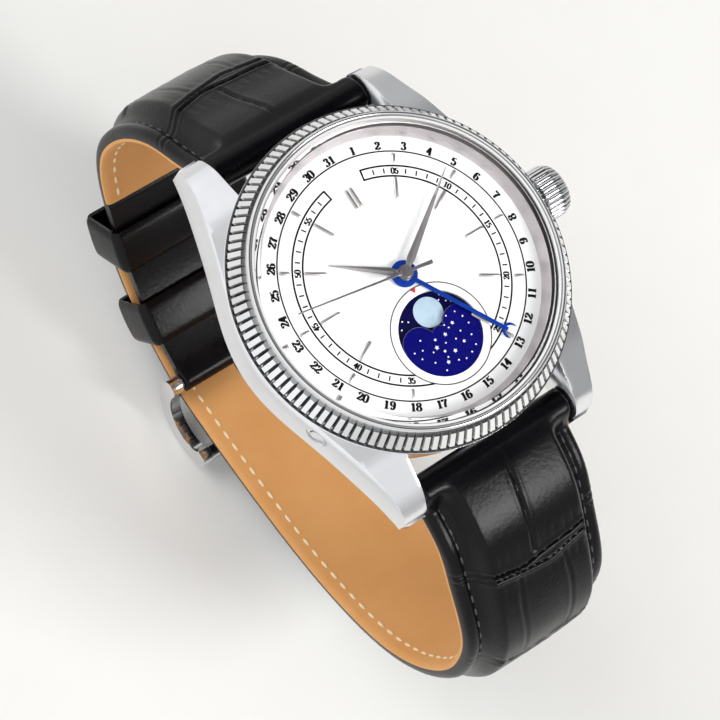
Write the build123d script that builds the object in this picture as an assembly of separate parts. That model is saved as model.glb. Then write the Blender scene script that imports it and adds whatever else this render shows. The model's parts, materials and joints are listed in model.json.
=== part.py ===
from build123d import *
import math
import os

# Wrist watch with a moon phase and a pointer date, strap closed into its wearing loop.
# Origin on the back face under the centre, +Z to the dial side, +Y to 12 o'clock, +X to the crown.

# Clearances and one overrun for cuts, in millimetres
SEAT_GAP = 0.03
RUN_GAP = 0.1
OVERRUN = 1.0

# Movement plate and its ring, from which the case grows outwards
PLATE_RADIUS = 15.2
MOVEMENT_RING_WIDTH = 1.4

# Case body
BACK_RIM_WIDTH = 1.3
CASE_WALL = 2.0
WALL_INSET = 0.4
FLANGE_OVERHANG = 0.6
FLANGE_HEIGHT = 0.35
LUG_GAP = 22.0
LUG_LENGTH = 4.2
LUG_TIP_BOTTOM = 0.9
FLANK_DROP = 0.1
LUG_RISE = 1.2
LUG_SLOPE_SHARE = 0.29
LUG_PLAN_SHARES = ((0.692, 0.985), (0.724, 0.855), (0.789, 0.664), (0.829, 0.556),
                   (0.9, 0.382), (0.96, 0.228))
LUG_TOP_SHARES = ((0.382, 0.951), (0.556, 0.902), (0.705, 0.848), (0.788, 0.765), (0.851, 0.706),
                  (0.909, 0.627), (0.958, 0.51), (0.975, 0.451), (0.985, 0.3))
LUG_CORNER = 0.8

# Case back, its glass and gasket
BACK_RIM_HEIGHT = 1.9
BACK_BEVEL = 0.7
BACK_NECK_WALL = 1.0
BACK_NECK_HEIGHT = 1.1
BACK_LIP_WIDTH = 3.4
BACK_GLASS_SEAT = 0.5
BACK_GLASS_THICKNESS = 0.95
BACK_LIP_THICKNESS = 0.3
BACK_NOTCHES = 6
BACK_NOTCH_WIDTH = 2.2
BACK_NOTCH_LENGTH = 2.2
BACK_NOTCH_DEPTH = 0.5
BACK_GASKET_WIDTH = 0.6
BACK_GASKET_HEIGHT = 0.5

# Bezel, crystal and inner flange ring
BEZEL_BASE_HEIGHT = 0.36
FLUTES = 120
FLUTE_OVERHANG = 0.35
FLUTE_SLOPE_WIDTH = 1.1
FLUTE_DEPTH = 0.5
FLUTE_HEIGHT = 1.64
BEZEL_STEP_WIDTH = 0.35
BEZEL_RING_WIDTH = 0.65
CRYSTAL_THICKNESS = 1.7
CRYSTAL_BEVEL = 0.6
CRYSTAL_PROUD = 0.1
GASKET_WIDTH = 0.3
GASKET_HEIGHT = 0.85
REHAUT_HEIGHT = 1.65
REHAUT_OVERHANG = 0.72
REHAUT_TOP_WIDTH = 0.7

# Dial, markers and moon window
DIAL_OVERHANG = 2.0
DIAL_THICKNESS = 0.4
DIAL_SPACE = 0.5
DIAL_HOLE_RADIUS = 1.15
FOOT_RADIUS = 0.35
FOOT_LENGTH = 2.0
FOOT_MARGIN = 1.2
FOOT_ANGLES = (35, 205)
MARKER_WIDTH = 0.43
MARKER_HEIGHT = 0.25
MARKER_OUTER_MARGIN = 2.74
MARKER_OUTER_LENGTH = 1.23
MARKER_INNER_MARGIN = 5.62
MARKER_INNER_LENGTH = 2.64
MARKER_HOURS = (1, 2, 3, 4, 5, 7, 8, 9, 10, 11)
SHORT_MARKER_HOUR = 7
TWELVE_SPACING = 0.62
MOON_CENTRE_SHARE = 0.516
MOON_WINDOW_SHARE = 0.332
STAR_PLATE_THICKNESS = 0.25
HUMP_RADIUS_SHARE = 0.424
HUMP_OFFSET_SHARE = 0.558
PEAK_RADIUS_SHARE = 0.194
MOON_RADIUS_SHARE = 0.356
MOON_ORBIT_SHARE = 0.558
MOON_DISC_OVERLAP = 0.55
MOON_DISC_THICKNESS = 0.25
MOON_PLATE_THICKNESS = 0.06
MOON_ANGLE = 83.8
MOON_TEETH = 59
MOON_TOOTH_DEPTH = 0.25
MOON_STUD_RADIUS = 0.4
MOON_DISC_DROP = 0.18

# Hands
HOUR_HAND_MARGIN = 8.26
MINUTE_HAND_MARGIN = 3.36
SECONDS_TAIL_LENGTH = 3.43
DATE_HAND_MARGIN = 2.6
HAND_WIDTH = 0.98
HAND_WAIST_RADIUS = 1.84
HAND_TIP_WIDTH = 0.12
HAND_RIDGE = 0.1
HAND_EDGE = 0.07
SECONDS_HAND_WIDTH = 0.3
SECONDS_TIP_WIDTH = 0.12
SECONDS_TAIL_WIDTH = 0.36
HUB_RADIUS = 0.9
SECONDS_HUB_RADIUS = 0.68
SECONDS_CAP_HEIGHT = 0.12
DATE_HUB_RADIUS = 1.35
DATE_ARM_WIDTH = 0.45
CRESCENT_RADIUS = 0.92
CRESCENT_CUT_RADIUS = 0.8
CRESCENT_CUT_SHIFT = 0.5
FIRST_HAND_GAP = 0.08
HAND_GAP = 0.1
HOUR_ANGLE = 305.0
MINUTE_ANGLE = 54.9
SECONDS_ANGLE = 278.8
DATE_ANGLE = 148.7

# Concentric pipes under the hands
SECONDS_ARBOR_RADIUS = 0.15
CENTRE_PIPE_RADIUS = 0.3
CANNON_PIPE_RADIUS = 0.48
HOUR_PIPE_RADIUS = 0.72
DATE_PIPE_RADIUS = 0.98
PIPE_GAP = 0.04

# Gears: tooth counts, and centre distances as shares of the plate's radius
TOOTH_ADDENDUM_SHARE = 0.8
TOOTH_DEDENDUM_SHARE = 1.15
BARREL_TEETH = 64
CENTRE_PINION_TEETH = 8
CENTRE_TEETH = 64
THIRD_PINION_TEETH = 8
THIRD_TEETH = 60
FOURTH_PINION_TEETH = 8
FOURTH_TEETH = 72
ESCAPE_PINION_TEETH = 6
ESCAPE_TEETH = 15
CANNON_TEETH = 12
MINUTE_WHEEL_TEETH = 36
MINUTE_PINION_TEETH = 8
HOUR_TEETH = 32
DATE_TEETH = 31
RATCHET_TEETH = 24
CROWN_WHEEL_TEETH = 20
WINDING_PINION_TEETH = 12
BARREL_DISTANCE_SHARE = 0.4145
BARREL_ANGLE = 50
THIRD_DISTANCE_SHARE = 0.385
THIRD_ANGLE = 200
ESCAPE_DISTANCE_SHARE = 0.3685
ESCAPE_ANGLE = 265
MINUTE_WHEEL_DISTANCE_SHARE = 0.1895
MINUTE_WHEEL_ANGLE = 120
ESCAPE_WHEEL_SHARE = 0.1513
ESCAPE_TOOTH_LEAN_SHARE = 0.25
ESCAPE_TOOTH_DEPTH = 0.55
DATE_WHEEL_RADIUS = 4.2
DATE_TOOTH_DEPTH = 0.35
ARBOR_RADIUS = 0.18
PIVOT_RADIUS = 0.12

# Thicknesses of the movement's layers, from the bridges up to the dial
ROTOR_CLEARANCE = 0.25
ROTOR_RIM_THICKNESS = 1.2
ROTOR_WEB_THICKNESS = 0.4
COCK_GAP = 0.2
COCK_THICKNESS = 0.55
RATCHET_THICKNESS = 0.3
BRIDGE_THICKNESS = 0.65
WHEEL_GAP = 0.07
FOURTH_THICKNESS = 0.15
THIRD_THICKNESS = 0.15
THIRD_DROP = 0.08
CENTRE_THICKNESS = 0.2
CENTRE_DROP = 0.22
PLATE_DROP = 0.15
BARREL_INSET = 0.1
BARREL_TOOTHED_THICKNESS = 0.35
BARREL_THICKNESS = 1.5
BARREL_DRUM_SHARE = 0.93
PLATE_THICKNESS = 2.2
POCKET_DEPTH = 0.85
POCKET_GAP = 0.3
MOTION_GAP = 0.1
MOTION_THICKNESS = 0.2
HOUR_WHEEL_THICKNESS = 0.15
DATE_WHEEL_THICKNESS = 0.13

# Bridges, winding work, rotor and balance, with places as shares of the plate's radius
BRIDGE_SKIRT_WIDTH = 0.9
BRIDGE_SPLIT_ANGLE = 5
BRIDGE_SPLIT_GAP = 0.25
BARREL_ARBOR_RADIUS = 0.55
CROWN_WHEEL_PLACE_SHARES = (0.566, 0.066)
CROWN_HUB_RADIUS = 0.9
CROWN_HUB_PROUD = 0.12
WINDING_PINION_SHARE = 0.697
WINDING_PINION_LENGTH = 1.4
KEYLESS_WIDTH = 4.2
KEYLESS_MARGIN = 0.3
KEYLESS_ROOM = 1.6
ROTOR_MARGIN = 1.1
ROTOR_RIM_WIDTH = 2.5
ROTOR_HUB_RADIUS = 2.7
BEARING_POST_RADIUS = 1.1
BEARING_HEAD_RADIUS = 1.9
BEARING_HEAD_THICKNESS = 0.25
BALANCE_PLACE_SHARES = (0.329, -0.57)
BALANCE_RADIUS_SHARE = 0.296
BALANCE_RIM_WIDTH = 0.5
BALANCE_RIM_THICKNESS = 0.5
BALANCE_ARM_WIDTH = 0.5
BALANCE_ARM_THICKNESS = 0.2
ROLLER_RADIUS = 0.6
ROLLER_THICKNESS = 0.2
BALANCE_CLEARANCE = 0.5
HAIRSPRING_TURNS = 5
HAIRSPRING_STEPS = 12
HAIRSPRING_START_RADIUS = 0.7
HAIRSPRING_PITCH = 0.33
HAIRSPRING_THICKNESS = 0.08
HAIRSPRING_HEIGHT = 0.15
HAIRSPRING_DROP = 0.3
COCK_FOOT_PLACE_SHARES = (0.803, -0.375)
COCK_RADIUS = 1.5
COCK_FOOT_RADIUS = 1.1
PALLET_PLACE_SHARES = (0.115, -0.461)
PALLET_THICKNESS = 0.2
PALLET_SPREAD = 6
JEWEL_RADIUS = 0.55
JEWEL_PROUD = 0.05
SCREW_RADIUS = 0.75
SCREW_HEAD_HEIGHT = 0.3
SCREW_SHANK_RADIUS = 0.35
SCREW_PLACES_SHARES = ((-0.62, 0.62), (-0.87, -0.1), (-0.45, -0.76), (0.62, 0.66), (0.0, 0.88), (0.885, 0.2))

# Crown, stem and pusher
STEM_INSET = 0.18
STEM_RADIUS = 0.45
TUBE_RADIUS = 1.4
TUBE_BORE_RADIUS = 0.95
TUBE_PROUD = 1.0
TUBE_DEPTH = 2.4
CROWN_RADIUS = 3.3
CROWN_STAND_OFF = 0.8
CROWN_LENGTH = 3.8
CROWN_RIBS = 30
CROWN_RIB_DEPTH = 0.25
CROWN_RIM_LENGTH = 0.35
CROWN_DOME = 0.5
CROWN_CUP_DEPTH = 1.5
CROWN_CUP_GAP = 0.12
CROWN_GASKET_LENGTH = 0.5
PUSHER_AZIMUTH = 210.2
PUSHER_HEIGHT = 4.9
PUSHER_RADIUS = 0.85
PUSHER_LENGTH = 2.2
PUSHER_PROUD = 0.3
SLEEVE_RADIUS = 1.4
SLEEVE_LENGTH = 1.6
SLEEVE_PROUD = 0.1

# Spring bars at the lugs
BAR_STAND_OFF = 1.7
BAR_HEIGHT = 3.4
BAR_RADIUS = 0.9
BAR_TIP_RADIUS = 0.45
BAR_TIP_LENGTH = 0.8
BAR_SHORT = 0.15

# Strap loop
STRAP_SIDE_GAP = 0.3
STRAP_TAPER = 3.4
STRAP_TIP_TAPER = 5.0
BAR_PLACE_SHARE = 0.54
LOOP_DEPTH = 51.0
STRAP_STATIONS = 22
TAPER_END_SHARE = 0.8
TIP_START_SHARE = 0.93
PAD_END_SHARE = 0.62
LINING_THICKNESS = 0.7
EDGE_THICKNESS = 1.5
PAD_THICKNESS = 3.9
PAD_END_THICKNESS = 2.0
EDGE_MARGIN = 2.0
PAD_SHOULDER = 2.2
BUCKLE_WRAP_RADIUS = 1.35
BUCKLE_PATH_SHARES = ((0.514, 0.02), (0.565, -0.02), (0.633, -0.08), (0.74, -0.169), (0.783, -0.222),
                      (0.82, -0.286), (0.863, -0.427), (0.866, -0.51), (0.848, -0.571), (0.778, -0.671),
                      (0.625, -0.796), (0.45, -0.893), (0.222, -0.945))
TAIL_PATH_SHARES = ((-0.535, 0.014), (-0.6275, 0.0), (-0.69, -0.018), (-0.782, -0.078), (-0.84, -0.12),
                    (-0.9025, -0.167), (-0.9525, -0.218), (-0.985, -0.29), (-1.0, -0.382), (-0.985, -0.482),
                    (-0.94, -0.59), (-0.852, -0.7), (-0.7, -0.8), (-0.51, -0.876), (-0.3, -0.93),
                    (-0.1, -0.968), (0.1, -0.997), (0.22, -1.006), (0.36, -0.985), (0.487, -0.951),
                    (0.59, -0.906), (0.68, -0.851), (0.787, -0.758))
TONGUE_SLOT = (2.6, 4.6)
TAIL_HOLE = (1.7, 4.9)
TAIL_HOLE_LEAD = 1.5

# Keepers and buckle
KEEPER_WIDTH = 6.0
KEEPER_THICKNESS = 0.9
KEEPER_GAP = 0.3
FIXED_KEEPER_SHARE = 0.88
FREE_KEEPER_SHARE = 0.715
BUCKLE_BAR_PLACE_SHARES = (0.21, -0.9686)
BUCKLE_BAR_RADIUS = 0.7
BUCKLE_SIDE_GAP = 0.4
BUCKLE_ARM_WIDTH = 1.6
BUCKLE_ARM_RADIUS = 1.2
BUCKLE_FRONT_RADIUS = 1.1
BUCKLE_ARM_SHARES = ((-0.07, 0.6), (-0.31, 0.97), (-0.66, 1.07), (-1.0, 0.75))
BUCKLE_LENGTH = 9.4
BUCKLE_DEPTH = 6.6
TONGUE_WIDTH = 1.5
TONGUE_THICKNESS = 0.8
TONGUE_EYE_RADIUS = 1.15
TONGUE_SHARES = ((-0.1, 0.3), (-0.26, 0.75), (-0.5, 1.0), (-1.1, 1.02))

# Many-sided outlines for hidden round pieces
HIDDEN_SIDES = 16
HIDDEN_PLATE_SIDES = 60
POCKET_FLAT_SHARE = 0.98

# Radii and places worked outwards from the movement
BACK_NECK_RADIUS = PLATE_RADIUS + MOVEMENT_RING_WIDTH
BACK_BORE_RADIUS = BACK_NECK_RADIUS - BACK_NECK_WALL
BACK_WINDOW_RADIUS = BACK_BORE_RADIUS - BACK_LIP_WIDTH
BACK_GLASS_RADIUS = BACK_WINDOW_RADIUS + BACK_GLASS_SEAT
BACK_RADIUS = BACK_NECK_RADIUS + BACK_RIM_WIDTH
MOVEMENT_BORE = BACK_NECK_RADIUS + SEAT_GAP
ROTOR_RADIUS = BACK_BORE_RADIUS - ROTOR_MARGIN
CASE_RADIUS = BACK_RADIUS + CASE_WALL
WALL_RADIUS = CASE_RADIUS - WALL_INSET
FLANGE_RADIUS = CASE_RADIUS + FLANGE_OVERHANG
LUG_REACH = CASE_RADIUS + LUG_LENGTH
BAR_PLACE = CASE_RADIUS + BAR_STAND_OFF
LUG_WRAP_RADIUS = BAR_STAND_OFF - RUN_GAP
CROWN_START = CASE_RADIUS + CROWN_STAND_OFF
PUSHER_FACE = CASE_RADIUS + PUSHER_PROUD
SLEEVE_FACE = CASE_RADIUS + SLEEVE_PROUD
BEZEL_BASE_RADIUS = CASE_RADIUS
FLUTE_RADIUS = CASE_RADIUS + FLUTE_OVERHANG
FLUTE_TOP_RADIUS = FLUTE_RADIUS - FLUTE_SLOPE_WIDTH
BEZEL_RING_RADIUS = FLUTE_TOP_RADIUS - BEZEL_STEP_WIDTH
BEZEL_BORE_RADIUS = BEZEL_RING_RADIUS - BEZEL_RING_WIDTH
CRYSTAL_RADIUS = BEZEL_BORE_RADIUS - GASKET_WIDTH
REHAUT_TOP_RADIUS = CRYSTAL_RADIUS - REHAUT_TOP_WIDTH
DIAL_RADIUS = PLATE_RADIUS + DIAL_OVERHANG
REHAUT_BOTTOM_RADIUS = DIAL_RADIUS - REHAUT_OVERHANG
FOOT_PLACE_RADIUS = PLATE_RADIUS - FOOT_MARGIN
MARKER_OUTER_END = DIAL_RADIUS - MARKER_OUTER_MARGIN
MARKER_OUTER_START = MARKER_OUTER_END - MARKER_OUTER_LENGTH
MARKER_INNER_END = DIAL_RADIUS - MARKER_INNER_MARGIN
MARKER_INNER_START = MARKER_INNER_END - MARKER_INNER_LENGTH
HOUR_HAND_LENGTH = DIAL_RADIUS - HOUR_HAND_MARGIN
MINUTE_HAND_LENGTH = DIAL_RADIUS - MINUTE_HAND_MARGIN
SECONDS_HAND_LENGTH = MINUTE_HAND_LENGTH
DATE_HAND_LENGTH = DIAL_RADIUS - DATE_HAND_MARGIN
MOON_CENTRE = PLATE_RADIUS * MOON_CENTRE_SHARE
MOON_WINDOW_RADIUS = PLATE_RADIUS * MOON_WINDOW_SHARE
MOON_DISC_RADIUS = MOON_WINDOW_RADIUS + MOON_DISC_OVERLAP
HUMP_RADIUS = MOON_WINDOW_RADIUS * HUMP_RADIUS_SHARE
HUMP_OFFSET = MOON_WINDOW_RADIUS * HUMP_OFFSET_SHARE
PEAK_RADIUS = MOON_WINDOW_RADIUS * PEAK_RADIUS_SHARE
MOON_RADIUS = MOON_WINDOW_RADIUS * MOON_RADIUS_SHARE
MOON_ORBIT_RADIUS = MOON_WINDOW_RADIUS * MOON_ORBIT_SHARE
BARREL_DISTANCE = PLATE_RADIUS * BARREL_DISTANCE_SHARE
THIRD_DISTANCE = PLATE_RADIUS * THIRD_DISTANCE_SHARE
ESCAPE_DISTANCE = PLATE_RADIUS * ESCAPE_DISTANCE_SHARE
MINUTE_WHEEL_DISTANCE = PLATE_RADIUS * MINUTE_WHEEL_DISTANCE_SHARE
ESCAPE_WHEEL_RADIUS = PLATE_RADIUS * ESCAPE_WHEEL_SHARE
BALANCE_RADIUS = PLATE_RADIUS * BALANCE_RADIUS_SHARE
WINDING_PINION_PLACE = PLATE_RADIUS * WINDING_PINION_SHARE
KEYLESS_START = WINDING_PINION_PLACE - KEYLESS_MARGIN
KEYLESS_END = WINDING_PINION_PLACE + WINDING_PINION_LENGTH + KEYLESS_ROOM
STRAP_WIDTH = LUG_GAP - 2 * STRAP_SIDE_GAP
STRAP_END_WIDTH = STRAP_WIDTH - STRAP_TAPER
STRAP_TIP_WIDTH = STRAP_END_WIDTH - STRAP_TIP_TAPER
BUCKLE_INNER_WIDTH = STRAP_END_WIDTH + 2 * BUCKLE_SIDE_GAP
LOOP_SPAN = BAR_PLACE / BAR_PLACE_SHARE

# Heights worked out from the layers, measured from the back face
NECK_TOP = BACK_RIM_HEIGHT + BACK_NECK_HEIGHT
LIP_TOP = BACK_GLASS_THICKNESS + BACK_LIP_THICKNESS
ROTOR_BOTTOM = LIP_TOP + ROTOR_CLEARANCE
ROTOR_TOP = ROTOR_BOTTOM + ROTOR_RIM_THICKNESS
COCK_BOTTOM = ROTOR_TOP + COCK_GAP
COCK_TOP = COCK_BOTTOM + COCK_THICKNESS
BRIDGE_BOTTOM = COCK_TOP
BRIDGE_TOP = BRIDGE_BOTTOM + BRIDGE_THICKNESS
RATCHET_TOP = BRIDGE_BOTTOM
RATCHET_BOTTOM = RATCHET_TOP - RATCHET_THICKNESS
FOURTH_BOTTOM = BRIDGE_TOP + WHEEL_GAP
FOURTH_TOP = FOURTH_BOTTOM + FOURTH_THICKNESS
THIRD_BOTTOM = FOURTH_TOP + THIRD_DROP
THIRD_TOP = THIRD_BOTTOM + THIRD_THICKNESS
CENTRE_BOTTOM = THIRD_TOP + CENTRE_DROP
CENTRE_TOP = CENTRE_BOTTOM + CENTRE_THICKNESS
PLATE_BOTTOM = CENTRE_TOP + PLATE_DROP
PLATE_TOP = PLATE_BOTTOM + PLATE_THICKNESS
BARREL_BOTTOM = PLATE_BOTTOM + BARREL_INSET
POCKET_TOP = PLATE_BOTTOM + POCKET_DEPTH
MOTION_BOTTOM = PLATE_TOP + MOTION_GAP
MOTION_TOP = MOTION_BOTTOM + MOTION_THICKNESS
HOUR_WHEEL_BOTTOM = MOTION_TOP + MOTION_GAP
HOUR_WHEEL_TOP = HOUR_WHEEL_BOTTOM + HOUR_WHEEL_THICKNESS
DATE_WHEEL_BOTTOM = HOUR_WHEEL_TOP + MOTION_GAP
DATE_WHEEL_TOP = DATE_WHEEL_BOTTOM + DATE_WHEEL_THICKNESS
DIAL_BOTTOM = DATE_WHEEL_TOP + DIAL_SPACE
CASE_TOP = DIAL_BOTTOM + DIAL_THICKNESS
LUG_CREST = CASE_TOP + LUG_RISE
STEM_HEIGHT = PLATE_BOTTOM + STEM_INSET
MOON_DISC_TOP = DIAL_BOTTOM - MOON_DISC_DROP
MOON_DISC_BOTTOM = MOON_DISC_TOP - MOON_DISC_THICKNESS
REHAUT_TOP = CASE_TOP + REHAUT_HEIGHT
CRYSTAL_TOP = REHAUT_TOP + CRYSTAL_THICKNESS
BEZEL_TOP = CRYSTAL_TOP - CRYSTAL_PROUD
DATE_HAND_BOTTOM = CASE_TOP + MARKER_HEIGHT + FIRST_HAND_GAP
HAND_THICKNESS = HAND_EDGE + HAND_RIDGE
HOUR_HAND_BOTTOM = DATE_HAND_BOTTOM + HAND_THICKNESS + HAND_GAP
MINUTE_HAND_BOTTOM = HOUR_HAND_BOTTOM + HAND_THICKNESS + HAND_GAP
SECONDS_HAND_BOTTOM = MINUTE_HAND_BOTTOM + HAND_THICKNESS + HAND_GAP
SECONDS_HAND_TOP = SECONDS_HAND_BOTTOM + HAND_EDGE + HAND_RIDGE


# Small helpers
def prism(outline, bottom, top, place=(0, 0)):
    """A flat outline raised between two heights."""
    return Pos(place[0], place[1], bottom) * extrude(outline, top - bottom)


def disc(radius, bottom, top, place=(0, 0)):
    return prism(Circle(radius), bottom, top, place)


def ring(outer, inner, bottom, top, place=(0, 0)):
    return prism(Circle(outer) - Circle(inner), bottom, top, place)


def turned(points):
    """A closed profile of (radius, height) points turned about the Z axis."""
    return revolve(Plane.XZ * make_face(Polyline(*points, close=True)), Axis.Z)


def rod_x(radius, start, end, y, z):
    """A round rod that runs along X."""
    return Plane((start, y, z), x_dir=(0, 1, 0), z_dir=(1, 0, 0)) * extrude(Circle(radius), end - start)


def polar(radius, degrees):
    """A place on the plan, with the angle counted from +X towards +Y."""
    return (radius * math.cos(math.radians(degrees)), radius * math.sin(math.radians(degrees)))


def clock(degrees):
    """A rotation that turns what points to 12 o'clock clockwise by an angle."""
    return Rot(0, 0, -degrees)


def scaled(shares, width, height):
    return [(width * across, height * up) for across, up in shares]


def many_sided(radius, sides=HIDDEN_SIDES):
    """A hidden round outline with flat sides, its corners on the radius."""
    return RegularPolygon(radius, sides)


def plain_disc(radius, bottom, top, place=(0, 0), sides=HIDDEN_SIDES):
    return prism(many_sided(radius, sides), bottom, top, place)


def plain_ring(outer, inner, bottom, top, sides=HIDDEN_PLATE_SIDES):
    """A hidden ring with flat sides; its bore's flats keep the inner radius."""
    bore = inner / math.cos(math.pi / sides)
    return prism(many_sided(outer, sides) - many_sided(bore, sides), bottom, top)


# Gear outlines
def mesh_radii(distance, first_teeth, second_teeth):
    """Pitch radii of two wheels that mesh at a centre distance."""
    total = first_teeth + second_teeth
    return (distance * first_teeth / total, distance * second_teeth / total)


def gear_outline(teeth, radius, phase=0.0):
    """Fine pointed watch teeth, the first tooth at the phase angle."""
    size = 2 * radius / teeth
    tip = radius + TOOTH_ADDENDUM_SHARE * size
    depth = (TOOTH_ADDENDUM_SHARE + TOOTH_DEDENDUM_SHARE) * size
    return Rot(0, 0, phase) * star_outline(teeth, tip, depth)


def star_outline(teeth, radius, depth, lean_share=0.5):
    """A zigzag wheel: tips on the radius, valleys one depth lower."""
    pitch = 360 / teeth
    points = []
    for index in range(teeth):
        points.append(polar(radius, index * pitch))
        points.append(polar(radius - depth, (index + lean_share) * pitch))
    return make_face(Polyline(*points, close=True))


def mate_phase(line_angle, first_teeth, first_phase, second_teeth):
    """Phase of a second wheel so that its gap faces the first wheel's tooth on the centre line."""
    first_pitch = 360 / first_teeth
    ahead = ((line_angle - first_phase) / first_pitch) % 1.0
    second_pitch = 360 / second_teeth
    return line_angle + 180 + (0.5 + ahead) * second_pitch


CENTRE_RADIUS, THIRD_PINION_RADIUS = mesh_radii(THIRD_DISTANCE, CENTRE_TEETH, THIRD_PINION_TEETH)
THIRD_RADIUS, FOURTH_PINION_RADIUS = mesh_radii(THIRD_DISTANCE, THIRD_TEETH, FOURTH_PINION_TEETH)
FOURTH_RADIUS, ESCAPE_PINION_RADIUS = mesh_radii(ESCAPE_DISTANCE, FOURTH_TEETH, ESCAPE_PINION_TEETH)
BARREL_GEAR_RADIUS, CENTRE_PINION_RADIUS = mesh_radii(BARREL_DISTANCE, BARREL_TEETH, CENTRE_PINION_TEETH)
CANNON_RADIUS, MINUTE_WHEEL_RADIUS = mesh_radii(MINUTE_WHEEL_DISTANCE, CANNON_TEETH, MINUTE_WHEEL_TEETH)
MINUTE_PINION_RADIUS, HOUR_RADIUS = mesh_radii(MINUTE_WHEEL_DISTANCE, MINUTE_PINION_TEETH, HOUR_TEETH)
BARREL_PLACE = polar(BARREL_DISTANCE, BARREL_ANGLE)
THIRD_PLACE = polar(THIRD_DISTANCE, THIRD_ANGLE)
ESCAPE_PLACE = polar(ESCAPE_DISTANCE, ESCAPE_ANGLE)
MINUTE_WHEEL_PLACE = polar(MINUTE_WHEEL_DISTANCE, MINUTE_WHEEL_ANGLE)
MOON_PLACE = (0, -MOON_CENTRE)
BARREL_DRUM_RADIUS = BARREL_GEAR_RADIUS * BARREL_DRUM_SHARE
CROWN_WHEEL_PLACE, BALANCE_PLACE, COCK_FOOT_PLACE, PALLET_PLACE = scaled(
    (CROWN_WHEEL_PLACE_SHARES, BALANCE_PLACE_SHARES, COCK_FOOT_PLACE_SHARES, PALLET_PLACE_SHARES),
    PLATE_RADIUS, PLATE_RADIUS)
BUCKLE_BAR_PLACE = scaled((BUCKLE_BAR_PLACE_SHARES,), LOOP_SPAN, LOOP_DEPTH)[0]
JEWEL_PLACES = ((0, 0), THIRD_PLACE, ESCAPE_PLACE)
THIRD_PHASE = mate_phase(THIRD_ANGLE, CENTRE_TEETH, 0.0, THIRD_PINION_TEETH)
FOURTH_PHASE = mate_phase(THIRD_ANGLE + 180, THIRD_TEETH, THIRD_PHASE, FOURTH_PINION_TEETH)
ESCAPE_PHASE = mate_phase(ESCAPE_ANGLE, FOURTH_TEETH, FOURTH_PHASE, ESCAPE_PINION_TEETH)
BARREL_PHASE = mate_phase(BARREL_ANGLE, CENTRE_PINION_TEETH, 0.0, BARREL_TEETH)


# Case
def lug_plan():
    """The case seen from above, lugs in: one bowed flank on each side."""
    quarter = scaled(LUG_PLAN_SHARES, CASE_RADIUS, LUG_REACH)
    right = quarter + [(CASE_RADIUS, 0)] + [(x, -y) for x, y in reversed(quarter)]
    left = [(-x, y) for x, y in right]
    tip_x, tip_y = quarter[0]
    corner = (tip_x - LUG_CORNER, LUG_REACH)
    lines = [Spline(*right), Spline(*left)]
    for side in (1, -1):
        lines.append(Polyline((tip_x, side * tip_y), (corner[0], side * corner[1]),
                              (-corner[0], side * corner[1]), (-tip_x, side * tip_y)))
    return make_face(lines)


def flank_blank(side):
    """One pair of lugs with its flank, its top falling outwards from the lug gap."""
    start = side * LUG_GAP / 2
    crest = scaled(LUG_TOP_SHARES, LUG_REACH, LUG_CREST)
    mirrored = [(-y, z) for y, z in reversed(crest)]
    top = Spline(*mirrored, (0, LUG_CREST), *crest)
    deep = -LUG_CREST
    reach = LUG_REACH + OVERRUN
    frame_line = Polyline(mirrored[0], (-reach, crest[-1][1]), (-reach, deep), (reach, deep),
                          (reach, crest[-1][1]), crest[-1])
    face = Plane((start, 0, 0), x_dir=(0, 1, 0), z_dir=(1, 0, 0)) * make_face([top, frame_line])
    width = CASE_RADIUS - LUG_GAP / 2 + OVERRUN
    length = width * math.hypot(1, LUG_SLOPE_SHARE)
    return extrude(face, length, dir=(side, 0, -LUG_SLOPE_SHARE))


def underside():
    """Everything above the case's underside, which drops a little towards the lug tips."""
    reach = LUG_REACH + OVERRUN
    ends = ((-reach, LUG_TIP_BOTTOM), (reach, LUG_TIP_BOTTOM))
    low = ThreePointArc(ends[0], (0, BACK_RIM_HEIGHT - FLANK_DROP), ends[1])
    box = Polyline(ends[0], (-reach, CASE_TOP), (reach, CASE_TOP), ends[1])
    return extrude(Plane.YZ * make_face([low, box]), CASE_RADIUS + OVERRUN, both=True)


def case_body():
    plan = prism(lug_plan(), 0, CASE_TOP)
    flanks = [plan & flank_blank(side) & underside() for side in (1, -1)]
    body = disc(WALL_RADIUS, BACK_RIM_HEIGHT, CASE_TOP)
    body += disc(FLANGE_RADIUS, CASE_TOP - FLANGE_HEIGHT, CASE_TOP)
    body += flanks
    body -= disc(MOVEMENT_BORE, 0, DIAL_BOTTOM)
    body -= disc(BACK_RADIUS + RUN_GAP, 0, BACK_RIM_HEIGHT)
    body -= disc(DIAL_RADIUS + SEAT_GAP, DIAL_BOTTOM, CASE_TOP)
    body -= rod_x(TUBE_RADIUS + SEAT_GAP, MOVEMENT_BORE - OVERRUN, CASE_RADIUS + OVERRUN, 0, STEM_HEIGHT)
    for side in (1, -1):
        body -= rod_x(BAR_TIP_RADIUS + RUN_GAP, -LUG_GAP / 2 - BAR_TIP_LENGTH, LUG_GAP / 2 + BAR_TIP_LENGTH,
                      side * BAR_PLACE, BAR_HEIGHT)
    body -= pusher_rod(PUSHER_RADIUS + RUN_GAP, MOVEMENT_BORE - OVERRUN, SLEEVE_FACE)
    return body - pusher_rod(SLEEVE_RADIUS + SEAT_GAP, SLEEVE_FACE - SLEEVE_LENGTH, CASE_RADIUS + OVERRUN)


def pusher_rod(radius, start, end):
    """A round rod along the pusher's own line, between two distances from the centre."""
    spot = Vector(*polar(start, PUSHER_AZIMUTH), PUSHER_HEIGHT)
    line = Vector(*polar(1, PUSHER_AZIMUTH), 0)
    return Plane(spot, z_dir=line) * extrude(Circle(radius), end - start)


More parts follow.
